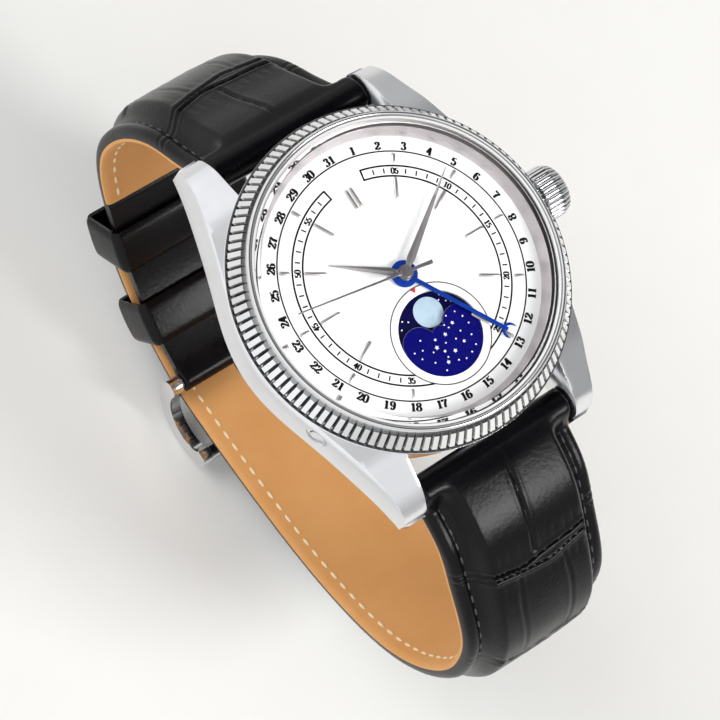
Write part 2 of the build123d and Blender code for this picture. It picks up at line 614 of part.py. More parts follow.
def corrector_sleeve():
    face, start = SLEEVE_FACE, SLEEVE_FACE - SLEEVE_LENGTH
    return pusher_rod(SLEEVE_RADIUS, start, face) - pusher_rod(PUSHER_RADIUS + RUN_GAP, start, face)


def corrector_pusher():
    return pusher_rod(PUSHER_RADIUS, PUSHER_FACE - PUSHER_LENGTH, PUSHER_FACE)


def case_back():
    """Back ring: bevelled rim, threaded neck, seat for the glass and six key notches."""
    glass_edge = BACK_GLASS_RADIUS + SEAT_GAP
    glass_top = BACK_GLASS_THICKNESS
    back = turned(((glass_edge, 0), (BACK_RADIUS - BACK_BEVEL, 0), (BACK_RADIUS, BACK_BEVEL),
                   (BACK_RADIUS, BACK_RIM_HEIGHT - SEAT_GAP), (BACK_NECK_RADIUS, BACK_RIM_HEIGHT - SEAT_GAP),
                   (BACK_NECK_RADIUS, NECK_TOP), (BACK_BORE_RADIUS, NECK_TOP), (BACK_BORE_RADIUS, LIP_TOP),
                   (BACK_WINDOW_RADIUS, LIP_TOP), (BACK_WINDOW_RADIUS, glass_top), (glass_edge, glass_top)))
    groove = BACK_RIM_HEIGHT - BACK_GASKET_HEIGHT - SEAT_GAP
    inner, outer = gasket_radii()
    back -= ring(outer + SEAT_GAP, inner - SEAT_GAP, groove, BACK_RIM_HEIGHT)
    notch = Rectangle(BACK_NOTCH_WIDTH, BACK_NOTCH_LENGTH)
    for index in range(BACK_NOTCHES):
        turn = Rot(0, 0, index * 360 / BACK_NOTCHES)
        back -= turn * prism(notch, 0, BACK_NOTCH_DEPTH, (0, BACK_RADIUS))
    return back


def gasket_radii():
    """Inner and outer radius of the back gasket, in the rim just outside the neck."""
    inner = BACK_NECK_RADIUS + SEAT_GAP + BACK_GASKET_WIDTH / 2
    return (inner, inner + BACK_GASKET_WIDTH)


def case_back_gasket():
    inner, outer = gasket_radii()
    return plain_ring(outer, inner, BACK_RIM_HEIGHT - BACK_GASKET_HEIGHT, BACK_RIM_HEIGHT)


def back_crystal():
    return disc(BACK_GLASS_RADIUS, 0, BACK_GLASS_THICKNESS)


# Bezel and glass
def bezel():
    """Fluted slope between a plain base and a polished ring that holds the glass."""
    shrink = FLUTE_TOP_RADIUS / FLUTE_RADIUS
    flute_bottom = CASE_TOP + BEZEL_BASE_HEIGHT
    flute_top = flute_bottom + FLUTE_HEIGHT
    low = Pos(0, 0, flute_bottom) * star_outline(FLUTES, FLUTE_RADIUS, FLUTE_DEPTH)
    high = Pos(0, 0, flute_top) * star_outline(FLUTES, FLUTE_RADIUS * shrink, FLUTE_DEPTH * shrink)
    flutes = loft([low, high], ruled=True)
    flutes -= disc(BEZEL_RING_RADIUS, CASE_TOP, BEZEL_TOP)
    crown_radius = (BEZEL_BORE_RADIUS + BEZEL_RING_RADIUS) / 2
    shoulder = flute_top + (BEZEL_TOP - flute_top) / 2
    band = turned(((BEZEL_BORE_RADIUS, CASE_TOP), (BEZEL_BASE_RADIUS, CASE_TOP),
                   (BEZEL_BASE_RADIUS, flute_bottom), (BEZEL_RING_RADIUS, flute_bottom),
                   (BEZEL_RING_RADIUS, shoulder), (crown_radius, BEZEL_TOP), (BEZEL_BORE_RADIUS, shoulder)))
    return band + flutes


def crystal():
    """Sapphire disc: straight edge, bevel and nearly flat top."""
    shoulder = CRYSTAL_TOP - CRYSTAL_BEVEL
    return turned(((0, REHAUT_TOP), (CRYSTAL_RADIUS, REHAUT_TOP), (CRYSTAL_RADIUS, shoulder),
                   (CRYSTAL_RADIUS - CRYSTAL_BEVEL, CRYSTAL_TOP), (0, CRYSTAL_TOP)))


def crystal_gasket():
    return plain_ring(BEZEL_BORE_RADIUS - SEAT_GAP, CRYSTAL_RADIUS + SEAT_GAP, REHAUT_TOP,
                      REHAUT_TOP + GASKET_HEIGHT)


def rehaut_ring():
    return turned(((REHAUT_BOTTOM_RADIUS, CASE_TOP), (CRYSTAL_RADIUS, CASE_TOP),
                   (CRYSTAL_RADIUS, REHAUT_TOP), (REHAUT_TOP_RADIUS, REHAUT_TOP)))


# Dial side
def dial():
    """Dial with its centre hole, round moon opening and two feet."""
    outline = Circle(DIAL_RADIUS) - Circle(DIAL_HOLE_RADIUS)
    outline -= Pos(0, -MOON_CENTRE) * Circle(MOON_WINDOW_RADIUS)
    plate = prism(outline, DIAL_BOTTOM, CASE_TOP)
    for angle in FOOT_ANGLES:
        place = polar(FOOT_PLACE_RADIUS, angle)
        plate += plain_disc(FOOT_RADIUS, DIAL_BOTTOM - FOOT_LENGTH, DIAL_BOTTOM, place)
    return plate


def marker_bar(start, end, shift=0.0):
    """A roof shaped bar that points outwards along Y, flat side on the dial."""
    half = MARKER_WIDTH / 2
    roof = make_face(Polyline((-half, 0), (half, 0), (0, MARKER_HEIGHT), close=True))
    return Plane((shift, end, CASE_TOP), x_dir=(1, 0, 0), z_dir=(0, -1, 0)) * extrude(roof, end - start)


def hour_markers():
    solids = []
    for hour in MARKER_HOURS:
        turn = clock(hour * 30)
        solids.append(turn * marker_bar(MARKER_OUTER_START, MARKER_OUTER_END))
        if hour != SHORT_MARKER_HOUR:
            solids.append(turn * marker_bar(MARKER_INNER_START, MARKER_INNER_END))
    return Compound(children=solids)


def twelve_marker():
    half = TWELVE_SPACING / 2
    bars = [marker_bar(MARKER_INNER_START, MARKER_INNER_END, shift) for shift in (-half, half)]
    return Compound(children=bars)


def moon_window_plate():
    """Star plate that covers the lower half of the opening and rises in two humps."""
    radius = MOON_WINDOW_RADIUS - SEAT_GAP
    lower = Circle(radius) & (Pos(0, -radius) * Rectangle(2 * radius, 2 * radius))
    humps = [Pos(side * HUMP_OFFSET, 0) * Circle(HUMP_RADIUS) for side in (1, -1)]
    outline = lower + humps + Circle(PEAK_RADIUS)
    return prism(outline, DIAL_BOTTOM, DIAL_BOTTOM + STAR_PLATE_THICKNESS, MOON_PLACE)


def moon_disc():
    outline = star_outline(MOON_TEETH, MOON_DISC_RADIUS + MOON_TOOTH_DEPTH, MOON_TOOTH_DEPTH)
    outline -= Circle(MOON_STUD_RADIUS + PIPE_GAP)
    return prism(outline, MOON_DISC_BOTTOM, MOON_DISC_TOP, MOON_PLACE)


def moons():
    top = MOON_DISC_TOP + MOON_PLATE_THICKNESS
    places = [polar(MOON_ORBIT_RADIUS, MOON_ANGLE + turn) for turn in (0, 180)]
    pair = [disc(MOON_RADIUS, MOON_DISC_TOP, top, (x, y - MOON_CENTRE)) for x, y in places]
    return Compound(children=pair)


# Hands, each drawn towards 12 o'clock and then turned
def blade(length, bottom):
    """A two facet lance: a low ridge runs down its middle, and it is widest near its root."""
    half, tip = HAND_WIDTH / 2, HAND_TIP_WIDTH / 2
    root = HUB_RADIUS / 2

    def rib(y, width):
        points = ((-width, 0), (width, 0), (width, HAND_EDGE), (0, HAND_THICKNESS), (-width, HAND_EDGE))
        plane = Plane((0, y, bottom), x_dir=(1, 0, 0), z_dir=(0, -1, 0))
        return plane * make_face(Polyline(*points, close=True))

    near = loft([rib(root, half / 2), rib(HAND_WAIST_RADIUS, half)], ruled=True)
    far = loft([rib(HAND_WAIST_RADIUS, half), rib(length, tip)], ruled=True)
    return near + far


def hand(length, bottom, hole, angle):
    top = bottom + HAND_THICKNESS
    body = blade(length, bottom) + disc(HUB_RADIUS, bottom, top)
    return clock(angle) * (body - disc(hole, bottom, top))


def hour_hand():
    return hand(HOUR_HAND_LENGTH, HOUR_HAND_BOTTOM, CANNON_PIPE_RADIUS + PIPE_GAP, HOUR_ANGLE)


def minute_hand():
    return hand(MINUTE_HAND_LENGTH, MINUTE_HAND_BOTTOM, CENTRE_PIPE_RADIUS + PIPE_GAP, MINUTE_ANGLE)


def seconds_hand():
    """A thin needle with a short straight tail and a round cap."""
    half, tip = SECONDS_HAND_WIDTH / 2, SECONDS_TIP_WIDTH / 2
    outline = make_face(Polyline((half, 0), (tip, SECONDS_HAND_LENGTH), (-tip, SECONDS_HAND_LENGTH),
                                 (-half, 0), close=True))
    outline += Pos(0, -SECONDS_TAIL_LENGTH / 2) * Rectangle(SECONDS_TAIL_WIDTH, SECONDS_TAIL_LENGTH)
    outline += Circle(SECONDS_HUB_RADIUS)
    needle = prism(outline, SECONDS_HAND_BOTTOM, SECONDS_HAND_TOP)
    cap = disc(SECONDS_HUB_RADIUS, SECONDS_HAND_TOP, SECONDS_HAND_TOP + SECONDS_CAP_HEIGHT)
    return clock(SECONDS_ANGLE) * (needle + cap)


def date_hand():
    """A flat pointer that ends in a crescent round the date."""
    arm_end = DATE_HAND_LENGTH - CRESCENT_RADIUS
    outline = Pos(0, arm_end / 2) * Rectangle(DATE_ARM_WIDTH, arm_end)
    crescent = Circle(CRESCENT_RADIUS) - Pos(0, CRESCENT_CUT_SHIFT) * Circle(CRESCENT_CUT_RADIUS)
    outline += Pos(0, arm_end) * crescent
    outline += Circle(DATE_HUB_RADIUS)
    outline -= Circle(HOUR_PIPE_RADIUS + PIPE_GAP)
    return clock(DATE_ANGLE) * prism(outline, DATE_HAND_BOTTOM, DATE_HAND_BOTTOM + HAND_THICKNESS)


# Wheels under the dial
def cannon_pinion():
    pinion = prism(gear_outline(CANNON_TEETH, CANNON_RADIUS), MOTION_BOTTOM, MOTION_TOP)
    pipe = disc(CANNON_PIPE_RADIUS, MOTION_TOP, MINUTE_HAND_BOTTOM)
    bore = disc(CENTRE_PIPE_RADIUS + PIPE_GAP, MOTION_BOTTOM, MINUTE_HAND_BOTTOM)
    return pinion + pipe - bore


def minute_wheel():
    line = MINUTE_WHEEL_ANGLE
    phase = mate_phase(line, CANNON_TEETH, 0.0, MINUTE_WHEEL_TEETH)
    wheel = prism(gear_outline(MINUTE_WHEEL_TEETH, MINUTE_WHEEL_RADIUS, phase), MOTION_BOTTOM, MOTION_TOP)
    pinion = gear_outline(MINUTE_PINION_TEETH, MINUTE_PINION_RADIUS, phase)
    leaves = prism(pinion, MOTION_TOP, HOUR_WHEEL_TOP)
    bore = disc(ARBOR_RADIUS + PIPE_GAP, MOTION_BOTTOM, HOUR_WHEEL_TOP)
    return Pos(*MINUTE_WHEEL_PLACE, 0) * (wheel + leaves - bore)


def hour_wheel():
    line = MINUTE_WHEEL_ANGLE + 180
    pinion_phase = mate_phase(MINUTE_WHEEL_ANGLE, CANNON_TEETH, 0.0, MINUTE_WHEEL_TEETH)
    phase = mate_phase(line, MINUTE_PINION_TEETH, pinion_phase, HOUR_TEETH)
    wheel = prism(gear_outline(HOUR_TEETH, HOUR_RADIUS, phase), HOUR_WHEEL_BOTTOM, HOUR_WHEEL_TOP)
    pipe = disc(HOUR_PIPE_RADIUS, HOUR_WHEEL_TOP, HOUR_HAND_BOTTOM)
    return wheel + pipe - disc(CANNON_PIPE_RADIUS + PIPE_GAP, HOUR_WHEEL_BOTTOM, HOUR_HAND_BOTTOM)


def date_wheel():
    outline = star_outline(DATE_TEETH, DATE_WHEEL_RADIUS + DATE_TOOTH_DEPTH, DATE_TOOTH_DEPTH)
    pipe = disc(DATE_PIPE_RADIUS, DATE_WHEEL_TOP, DATE_HAND_BOTTOM)
    bore = disc(HOUR_PIPE_RADIUS + PIPE_GAP, DATE_WHEEL_BOTTOM, DATE_HAND_BOTTOM)
    return prism(outline, DATE_WHEEL_BOTTOM, DATE_WHEEL_TOP) + pipe - bore


# Going train
def centre_wheel():
    """Centre wheel, its pinion and the pipe that carries the minute hand."""
    wheel = prism(gear_outline(CENTRE_TEETH, CENTRE_RADIUS), CENTRE_BOTTOM, CENTRE_TOP)
    leaves = prism(gear_outline(CENTRE_PINION_TEETH, CENTRE_PINION_RADIUS), CENTRE_TOP, POCKET_TOP - RUN_GAP)
    pipe = disc(CENTRE_PIPE_RADIUS, CENTRE_TOP, MINUTE_HAND_BOTTOM + HAND_THICKNESS)
    bore = disc(SECONDS_ARBOR_RADIUS + PIPE_GAP, CENTRE_BOTTOM, SECONDS_HAND_BOTTOM)
    return wheel + leaves + pipe - bore


def third_wheel():
    wheel = prism(gear_outline(THIRD_TEETH, THIRD_RADIUS, THIRD_PHASE), THIRD_BOTTOM, THIRD_TOP)
    leaves = prism(gear_outline(THIRD_PINION_TEETH, THIRD_PINION_RADIUS, THIRD_PHASE), THIRD_TOP, CENTRE_TOP)
    arbor = disc(PIVOT_RADIUS, BRIDGE_TOP - BRIDGE_THICKNESS / 2, PLATE_BOTTOM + POCKET_DEPTH)
    return Pos(*THIRD_PLACE, 0) * (wheel + leaves + arbor)


def fourth_wheel():
    """Seconds wheel, its pinion and the long arbor up to the seconds hand."""
    wheel = prism(gear_outline(FOURTH_TEETH, FOURTH_RADIUS, FOURTH_PHASE), FOURTH_BOTTOM, FOURTH_TOP)
    pinion = gear_outline(FOURTH_PINION_TEETH, FOURTH_PINION_RADIUS, FOURTH_PHASE)
    leaves = prism(pinion, FOURTH_TOP, THIRD_TOP)
    arbor = disc(SECONDS_ARBOR_RADIUS, BRIDGE_TOP - BRIDGE_THICKNESS / 2, SECONDS_HAND_BOTTOM)
    return wheel + leaves + arbor


def escape_wheel():
    """Fifteen raked teeth on a thin rim, with the pinion below."""
    bottom = PLATE_BOTTOM + RUN_GAP
    outline = star_outline(ESCAPE_TEETH, ESCAPE_WHEEL_RADIUS, ESCAPE_TOOTH_DEPTH, ESCAPE_TOOTH_LEAN_SHARE)
    wheel = prism(outline, bottom, bottom + PALLET_THICKNESS)
    pinion = gear_outline(ESCAPE_PINION_TEETH, ESCAPE_PINION_RADIUS, ESCAPE_PHASE)
    leaves = prism(pinion, FOURTH_BOTTOM, FOURTH_TOP)
    arbor = disc(PIVOT_RADIUS, BRIDGE_TOP - BRIDGE_THICKNESS / 2, POCKET_TOP)
    return Pos(*ESCAPE_PLACE, 0) * (wheel + leaves + arbor)


def mainspring_barrel():
    """Toothed drum with its arbor hole."""
    step = BARREL_BOTTOM + BARREL_TOOTHED_THICKNESS
    top = BARREL_BOTTOM + BARREL_THICKNESS
    toothed = prism(gear_outline(BARREL_TEETH, BARREL_GEAR_RADIUS, BARREL_PHASE), BARREL_BOTTOM, step)
    drum = disc(BARREL_DRUM_RADIUS, step, top)
    bore = disc(BARREL_ARBOR_RADIUS + PIPE_GAP, BARREL_BOTTOM, top)
    return Pos(*BARREL_PLACE, 0) * (toothed + drum - bore)


# Balance and pallets
def towards(start, end):
    return math.degrees(math.atan2(end[1] - start[1], end[0] - start[0]))


def pallet_fork():
    """Lever with a horn at the balance and two arms that embrace the escape wheel."""
    bottom = PLATE_BOTTOM + RUN_GAP
    to_balance = towards(PALLET_PLACE, BALANCE_PLACE)
    reach = math.dist(PALLET_PLACE, BALANCE_PLACE) - ROLLER_RADIUS - PIVOT_RADIUS
    lever = Pos(reach / 2, 0) * Rectangle(reach, 2 * PIVOT_RADIUS)
    gap = math.dist(PALLET_PLACE, ESCAPE_PLACE) - ESCAPE_WHEEL_RADIUS - RUN_GAP
    turn = towards(PALLET_PLACE, ESCAPE_PLACE) - to_balance + 90
    arms = Rot(0, 0, turn) * Rectangle(PALLET_SPREAD * gap, gap)
    plan = Rot(0, 0, to_balance) * (lever + arms + Circle(2 * PIVOT_RADIUS))
    body = prism(plan, bottom, bottom + PALLET_THICKNESS) + disc(PIVOT_RADIUS, bottom, POCKET_TOP)
    return Pos(*PALLET_PLACE, 0) * body


def balance_wheel():
    """Rim, two arms, staff and the roller that kicks the fork."""
    rim_bottom = BRIDGE_TOP + WHEEL_GAP
    rim_top = rim_bottom + BALANCE_RIM_THICKNESS
    rim = plain_ring(BALANCE_RADIUS, BALANCE_RADIUS - BALANCE_RIM_WIDTH, rim_bottom, rim_top)
    arm = Rectangle(2 * BALANCE_RADIUS - BALANCE_RIM_WIDTH, BALANCE_ARM_WIDTH)
    arm_top = rim_bottom + BALANCE_ARM_THICKNESS
    arms = prism(arm, rim_bottom, arm_top)
    roller_bottom = PLATE_BOTTOM + RUN_GAP + PALLET_THICKNESS + RUN_GAP
    roller = disc(ROLLER_RADIUS, roller_bottom, roller_bottom + ROLLER_THICKNESS)
    staff = disc(ARBOR_RADIUS, BRIDGE_BOTTOM, POCKET_TOP)
    return Pos(*BALANCE_PLACE, 0) * (rim + arms + roller + staff)


def hairspring():
    """Flat spiral ribbon in straight steps, round the balance staff."""
    inner, outer = [], []
    for step in range(HAIRSPRING_TURNS * HAIRSPRING_STEPS + 1):
        turn = step / HAIRSPRING_STEPS
        radius = HAIRSPRING_START_RADIUS + HAIRSPRING_PITCH * turn
        inner.append(polar(radius, turn * 360))
        outer.append(polar(radius + HAIRSPRING_THICKNESS, turn * 360))
    outline = make_face(Polyline(*inner, *reversed(outer), close=True))
    bottom = BRIDGE_BOTTOM + HAIRSPRING_DROP
    return prism(outline, bottom, bottom + HAIRSPRING_HEIGHT, BALANCE_PLACE)


def balance_cock():
    """Single footed cock over the balance, with its foot on the main plate."""
    discs = (Pos(*BALANCE_PLACE) * Circle(COCK_RADIUS), Pos(*COCK_FOOT_PLACE) * Circle(COCK_FOOT_RADIUS))
    outline = make_hull([edge for circle in discs for edge in circle.edges()])
    arm = prism(outline, COCK_BOTTOM, COCK_TOP)
    return arm + disc(COCK_FOOT_RADIUS, COCK_TOP, PLATE_BOTTOM, COCK_FOOT_PLACE)


# Plates
def mainplate():
    """Main plate with pockets for barrel, escapement and winding pinion, and the posts on its dial side."""
    plate = plain_disc(PLATE_RADIUS, PLATE_BOTTOM, PLATE_TOP, sides=HIDDEN_PLATE_SIDES)
    plate -= disc(BARREL_GEAR_RADIUS + POCKET_GAP, PLATE_BOTTOM, BARREL_BOTTOM + BARREL_THICKNESS + RUN_GAP,
                  BARREL_PLACE)
    pockets = ((ESCAPE_WHEEL_RADIUS + POCKET_GAP, ESCAPE_PLACE), (ESCAPE_WHEEL_RADIUS, PALLET_PLACE),
               (2 * ROLLER_RADIUS, BALANCE_PLACE), (CENTRE_PINION_RADIUS + POCKET_GAP, (0, 0)))
    for radius, place in pockets:
        plate -= plain_disc(radius / POCKET_FLAT_SHARE, PLATE_BOTTOM, POCKET_TOP, place)
    plate -= disc(CENTRE_PIPE_RADIUS + RUN_GAP, PLATE_BOTTOM, PLATE_TOP)
    plate -= disc(PIVOT_RADIUS + PIPE_GAP, PLATE_BOTTOM, POCKET_TOP, THIRD_PLACE)
    plate -= prism(keyless_slot(), PLATE_BOTTOM, PLATE_TOP)
    plate -= rod_x(STEM_RADIUS + RUN_GAP, KEYLESS_START, PLATE_RADIUS + OVERRUN, 0, STEM_HEIGHT)
    for angle in FOOT_ANGLES:
        foot_bottom = DIAL_BOTTOM - FOOT_LENGTH - RUN_GAP
        plate -= plain_disc(FOOT_RADIUS + RUN_GAP, foot_bottom, PLATE_TOP, polar(FOOT_PLACE_RADIUS, angle))
    plate += disc(ARBOR_RADIUS, PLATE_TOP, HOUR_WHEEL_TOP, MINUTE_WHEEL_PLACE)
    plate += plain_disc(2 * MOON_STUD_RADIUS, PLATE_TOP, MOON_DISC_BOTTOM - PIPE_GAP, MOON_PLACE)
    return plate + disc(MOON_STUD_RADIUS, MOON_DISC_BOTTOM - PIPE_GAP, MOON_DISC_TOP, MOON_PLACE)


def keyless_slot():
    """The opening round the winding pinion."""
    middle = (KEYLESS_START + KEYLESS_END) / 2
    return Pos(middle, 0) * Rectangle(KEYLESS_END - KEYLESS_START, KEYLESS_WIDTH)


def bridge_blank():
    """Round bridge with a skirt that stands on the main plate, cut away for the balance and its cock."""
    blank = plain_disc(PLATE_RADIUS, BRIDGE_BOTTOM, BRIDGE_TOP, sides=HIDDEN_PLATE_SIDES)
    blank += plain_ring(PLATE_RADIUS, PLATE_RADIUS - BRIDGE_SKIRT_WIDTH, BRIDGE_TOP, PLATE_BOTTOM)
    blank -= plain_disc(BALANCE_RADIUS + BALANCE_CLEARANCE, BRIDGE_BOTTOM, PLATE_BOTTOM, BALANCE_PLACE,
                        HIDDEN_PLATE_SIDES)
    blank -= plain_disc(COCK_FOOT_RADIUS + BALANCE_CLEARANCE, BRIDGE_BOTTOM, PLATE_BOTTOM, COCK_FOOT_PLACE)
    blank -= prism(keyless_slot(), BRIDGE_BOTTOM, PLATE_BOTTOM)
    return blank - rod_x(STEM_RADIUS + RUN_GAP, KEYLESS_START, PLATE_RADIUS + OVERRUN, 0, STEM_HEIGHT)


def half_plane(side):
    """Large block on one side of the split between the two bridges."""
    size = 2 * (PLATE_RADIUS + OVERRUN)
    block = Pos(0, side * (size + BRIDGE_SPLIT_GAP) / 2) * Rectangle(size, size)
    return Rot(0, 0, BRIDGE_SPLIT_ANGLE) * prism(block, BRIDGE_BOTTOM, PLATE_BOTTOM)


def bridge_holes():
    """Holes for jewels, the barrel arbor, the crown wheel and the screws."""
    holes = [disc(JEWEL_RADIUS + SEAT_GAP, BRIDGE_BOTTOM, BRIDGE_TOP, place) for place in JEWEL_PLACES]
    holes.append(disc(BARREL_ARBOR_RADIUS + PIPE_GAP, BRIDGE_BOTTOM, BRIDGE_TOP, BARREL_PLACE))
    for place in screw_places():
        holes.append(plain_disc(SCREW_SHANK_RADIUS + SEAT_GAP, BRIDGE_BOTTOM, BRIDGE_TOP, place))
    return holes


def screw_places():
    return scaled(SCREW_PLACES_SHARES, PLATE_RADIUS, PLATE_RADIUS)


def barrel_bridge():
    return (bridge_blank() & half_plane(1)) - bridge_holes()


def train_bridge():
    return (bridge_blank() & half_plane(-1)) - bridge_holes()


def jewels():
    solids = []
    for place in JEWEL_PLACES:
        hole = SECONDS_ARBOR_RADIUS if place == (0, 0) else PIVOT_RADIUS
        solids.append(ring(JEWEL_RADIUS, hole + PIPE_GAP, BRIDGE_BOTTOM + JEWEL_PROUD, BRIDGE_TOP, place))
    return Compound(children=solids)


def movement_screws():
    """Slotless blanks of the bridge screws: a head on the bridge and a shank into the plate."""
    solids = []
    for place in screw_places():
        head = plain_disc(SCREW_RADIUS, BRIDGE_BOTTOM - SCREW_HEAD_HEIGHT, BRIDGE_BOTTOM, place)
        solids.append(head + plain_disc(SCREW_SHANK_RADIUS, BRIDGE_BOTTOM, PLATE_BOTTOM, place))
    return Compound(children=solids)


def ratchet_wheel():
    """Wheel on the barrel arbor, with the arbor in one piece."""
    phase = mate_phase(towards(CROWN_WHEEL_PLACE, BARREL_PLACE), CROWN_WHEEL_TEETH, 0.0, RATCHET_TEETH)
    radius = ratchet_radii()[0]
    wheel = prism(gear_outline(RATCHET_TEETH, radius, phase), RATCHET_BOTTOM, RATCHET_TOP)
    arbor = disc(BARREL_ARBOR_RADIUS, RATCHET_TOP, BARREL_BOTTOM + BARREL_THICKNESS)
    return Pos(*BARREL_PLACE, 0) * (wheel + arbor)


def ratchet_radii():
    distance = math.dist(CROWN_WHEEL_PLACE, BARREL_PLACE)
    return mesh_radii(distance, RATCHET_TEETH, CROWN_WHEEL_TEETH)


def crown_wheel():
    """Wheel with a low round hub on its core."""
    outline = gear_outline(CROWN_WHEEL_TEETH, ratchet_radii()[1])
    hub = disc(CROWN_HUB_RADIUS, RATCHET_BOTTOM - CROWN_HUB_PROUD, RATCHET_BOTTOM, CROWN_WHEEL_PLACE)
    return prism(outline, RATCHET_BOTTOM, RATCHET_TOP, CROWN_WHEEL_PLACE) + hub


def winding_pinion():
    """Pinion on the stem, in its pocket, reaching up to the crown wheel."""
    tip = STEM_HEIGHT - RATCHET_TOP - RUN_GAP
    radius = tip / (1 + 2 * TOOTH_ADDENDUM_SHARE / WINDING_PINION_TEETH)
    outline = gear_outline(WINDING_PINION_TEETH, radius) - Circle(STEM_RADIUS + PIPE_GAP)
    place = Plane((WINDING_PINION_PLACE, 0, STEM_HEIGHT), x_dir=(0, 1, 0), z_dir=(1, 0, 0))
    return place * extrude(outline, WINDING_PINION_LENGTH)


def rotor():
    """Half disc with a heavy rim that swings round the bearing."""
    web = turned(((BEARING_POST_RADIUS + RUN_GAP, ROTOR_TOP - ROTOR_WEB_THICKNESS),
                  (ROTOR_RADIUS - ROTOR_RIM_WIDTH, ROTOR_TOP - ROTOR_WEB_THICKNESS),
                  (ROTOR_RADIUS - ROTOR_RIM_WIDTH, ROTOR_BOTTOM), (ROTOR_RADIUS, ROTOR_BOTTOM),
                  (ROTOR_RADIUS, ROTOR_TOP), (BEARING_POST_RADIUS + RUN_GAP, ROTOR_TOP)))
    reach = ROTOR_RADIUS + OVERRUN
    window = Pos(0, -reach) * Rectangle(2 * reach, 2 * reach)
    trim = prism(window, ROTOR_BOTTOM, ROTOR_TOP)
    hub = ring(ROTOR_HUB_RADIUS, BEARING_POST_RADIUS + RUN_GAP, ROTOR_TOP - ROTOR_WEB_THICKNESS, ROTOR_TOP)
    return (web & trim) + hub


def rotor_bearing():
    head_bottom = ROTOR_TOP - ROTOR_WEB_THICKNESS - RUN_GAP - BEARING_HEAD_THICKNESS
    head = disc(BEARING_HEAD_RADIUS, head_bottom, head_bottom + BEARING_HEAD_THICKNESS)
    return head + disc(BEARING_POST_RADIUS, head_bottom, BRIDGE_BOTTOM)


def movement_ring():
    """Plain ring that centres the movement in the case and carries the dial."""
    body = plain_ring(BACK_NECK_RADIUS - SEAT_GAP, PLATE_RADIUS + SEAT_GAP, NECK_TOP + SEAT_GAP, DIAL_BOTTOM)
    bore = rod_x(STEM_RADIUS + RUN_GAP, PLATE_RADIUS - OVERRUN, CASE_RADIUS, 0, STEM_HEIGHT)
    return body - bore


# Crown
def crown_tube():
    start, end = CASE_RADIUS - TUBE_DEPTH, CASE_RADIUS + TUBE_PROUD
    tube = rod_x(TUBE_RADIUS, start, end, 0, STEM_HEIGHT)
    return tube - rod_x(TUBE_BORE_RADIUS, start, end, 0, STEM_HEIGHT)


def crown():
    """Ribbed crown with plain rims, a domed face and a cup that slides over its tube."""
    place = Plane((CROWN_START, 0, STEM_HEIGHT), x_dir=(0, 1, 0), z_dir=(1, 0, 0))
    ribs = extrude(star_outline(CROWN_RIBS, CROWN_RADIUS, CROWN_RIB_DEPTH), CROWN_LENGTH)
    edge = CROWN_RADIUS - CROWN_RIB_DEPTH
    trim = turned(((0, 0), (edge, 0), (CROWN_RADIUS, CROWN_RIM_LENGTH),
                   (CROWN_RADIUS, CROWN_LENGTH - CROWN_DOME), (edge, CROWN_LENGTH - CROWN_RIM_LENGTH / 2),
                   (edge - CROWN_DOME, CROWN_LENGTH), (0, CROWN_LENGTH)))
    cup = disc(TUBE_RADIUS + CROWN_CUP_GAP, 0, CROWN_CUP_DEPTH)
    return place * ((ribs & trim) - cup)


def crown_gasket():
    start = CROWN_START + CROWN_CUP_DEPTH - CROWN_GASKET_LENGTH
    washer = rod_x(TUBE_RADIUS, start, CROWN_START + CROWN_CUP_DEPTH, 0, STEM_HEIGHT)
    return washer - rod_x(STEM_RADIUS + PIPE_GAP, start, CROWN_START + CROWN_CUP_DEPTH, 0, STEM_HEIGHT)


def winding_stem():
    start = WINDING_PINION_PLACE - RUN_GAP
    return rod_x(STEM_RADIUS, start, CROWN_START + CROWN_CUP_DEPTH, 0, STEM_HEIGHT)


# Spring bars
def spring_bar(side):
    """Thick barrel between the lugs and a thin tip in each lug."""
    half = LUG_GAP / 2 - BAR_SHORT
    tip = LUG_GAP / 2 + BAR_TIP_LENGTH - RUN_GAP
    y = side * BAR_PLACE
    return rod_x(BAR_RADIUS, -half, half, y, BAR_HEIGHT) + rod_x(BAR_TIP_RADIUS, -tip, tip, y, BAR_HEIGHT)


def spring_bar_12():
    return spring_bar(1)


def spring_bar_6():
    return spring_bar(-1)


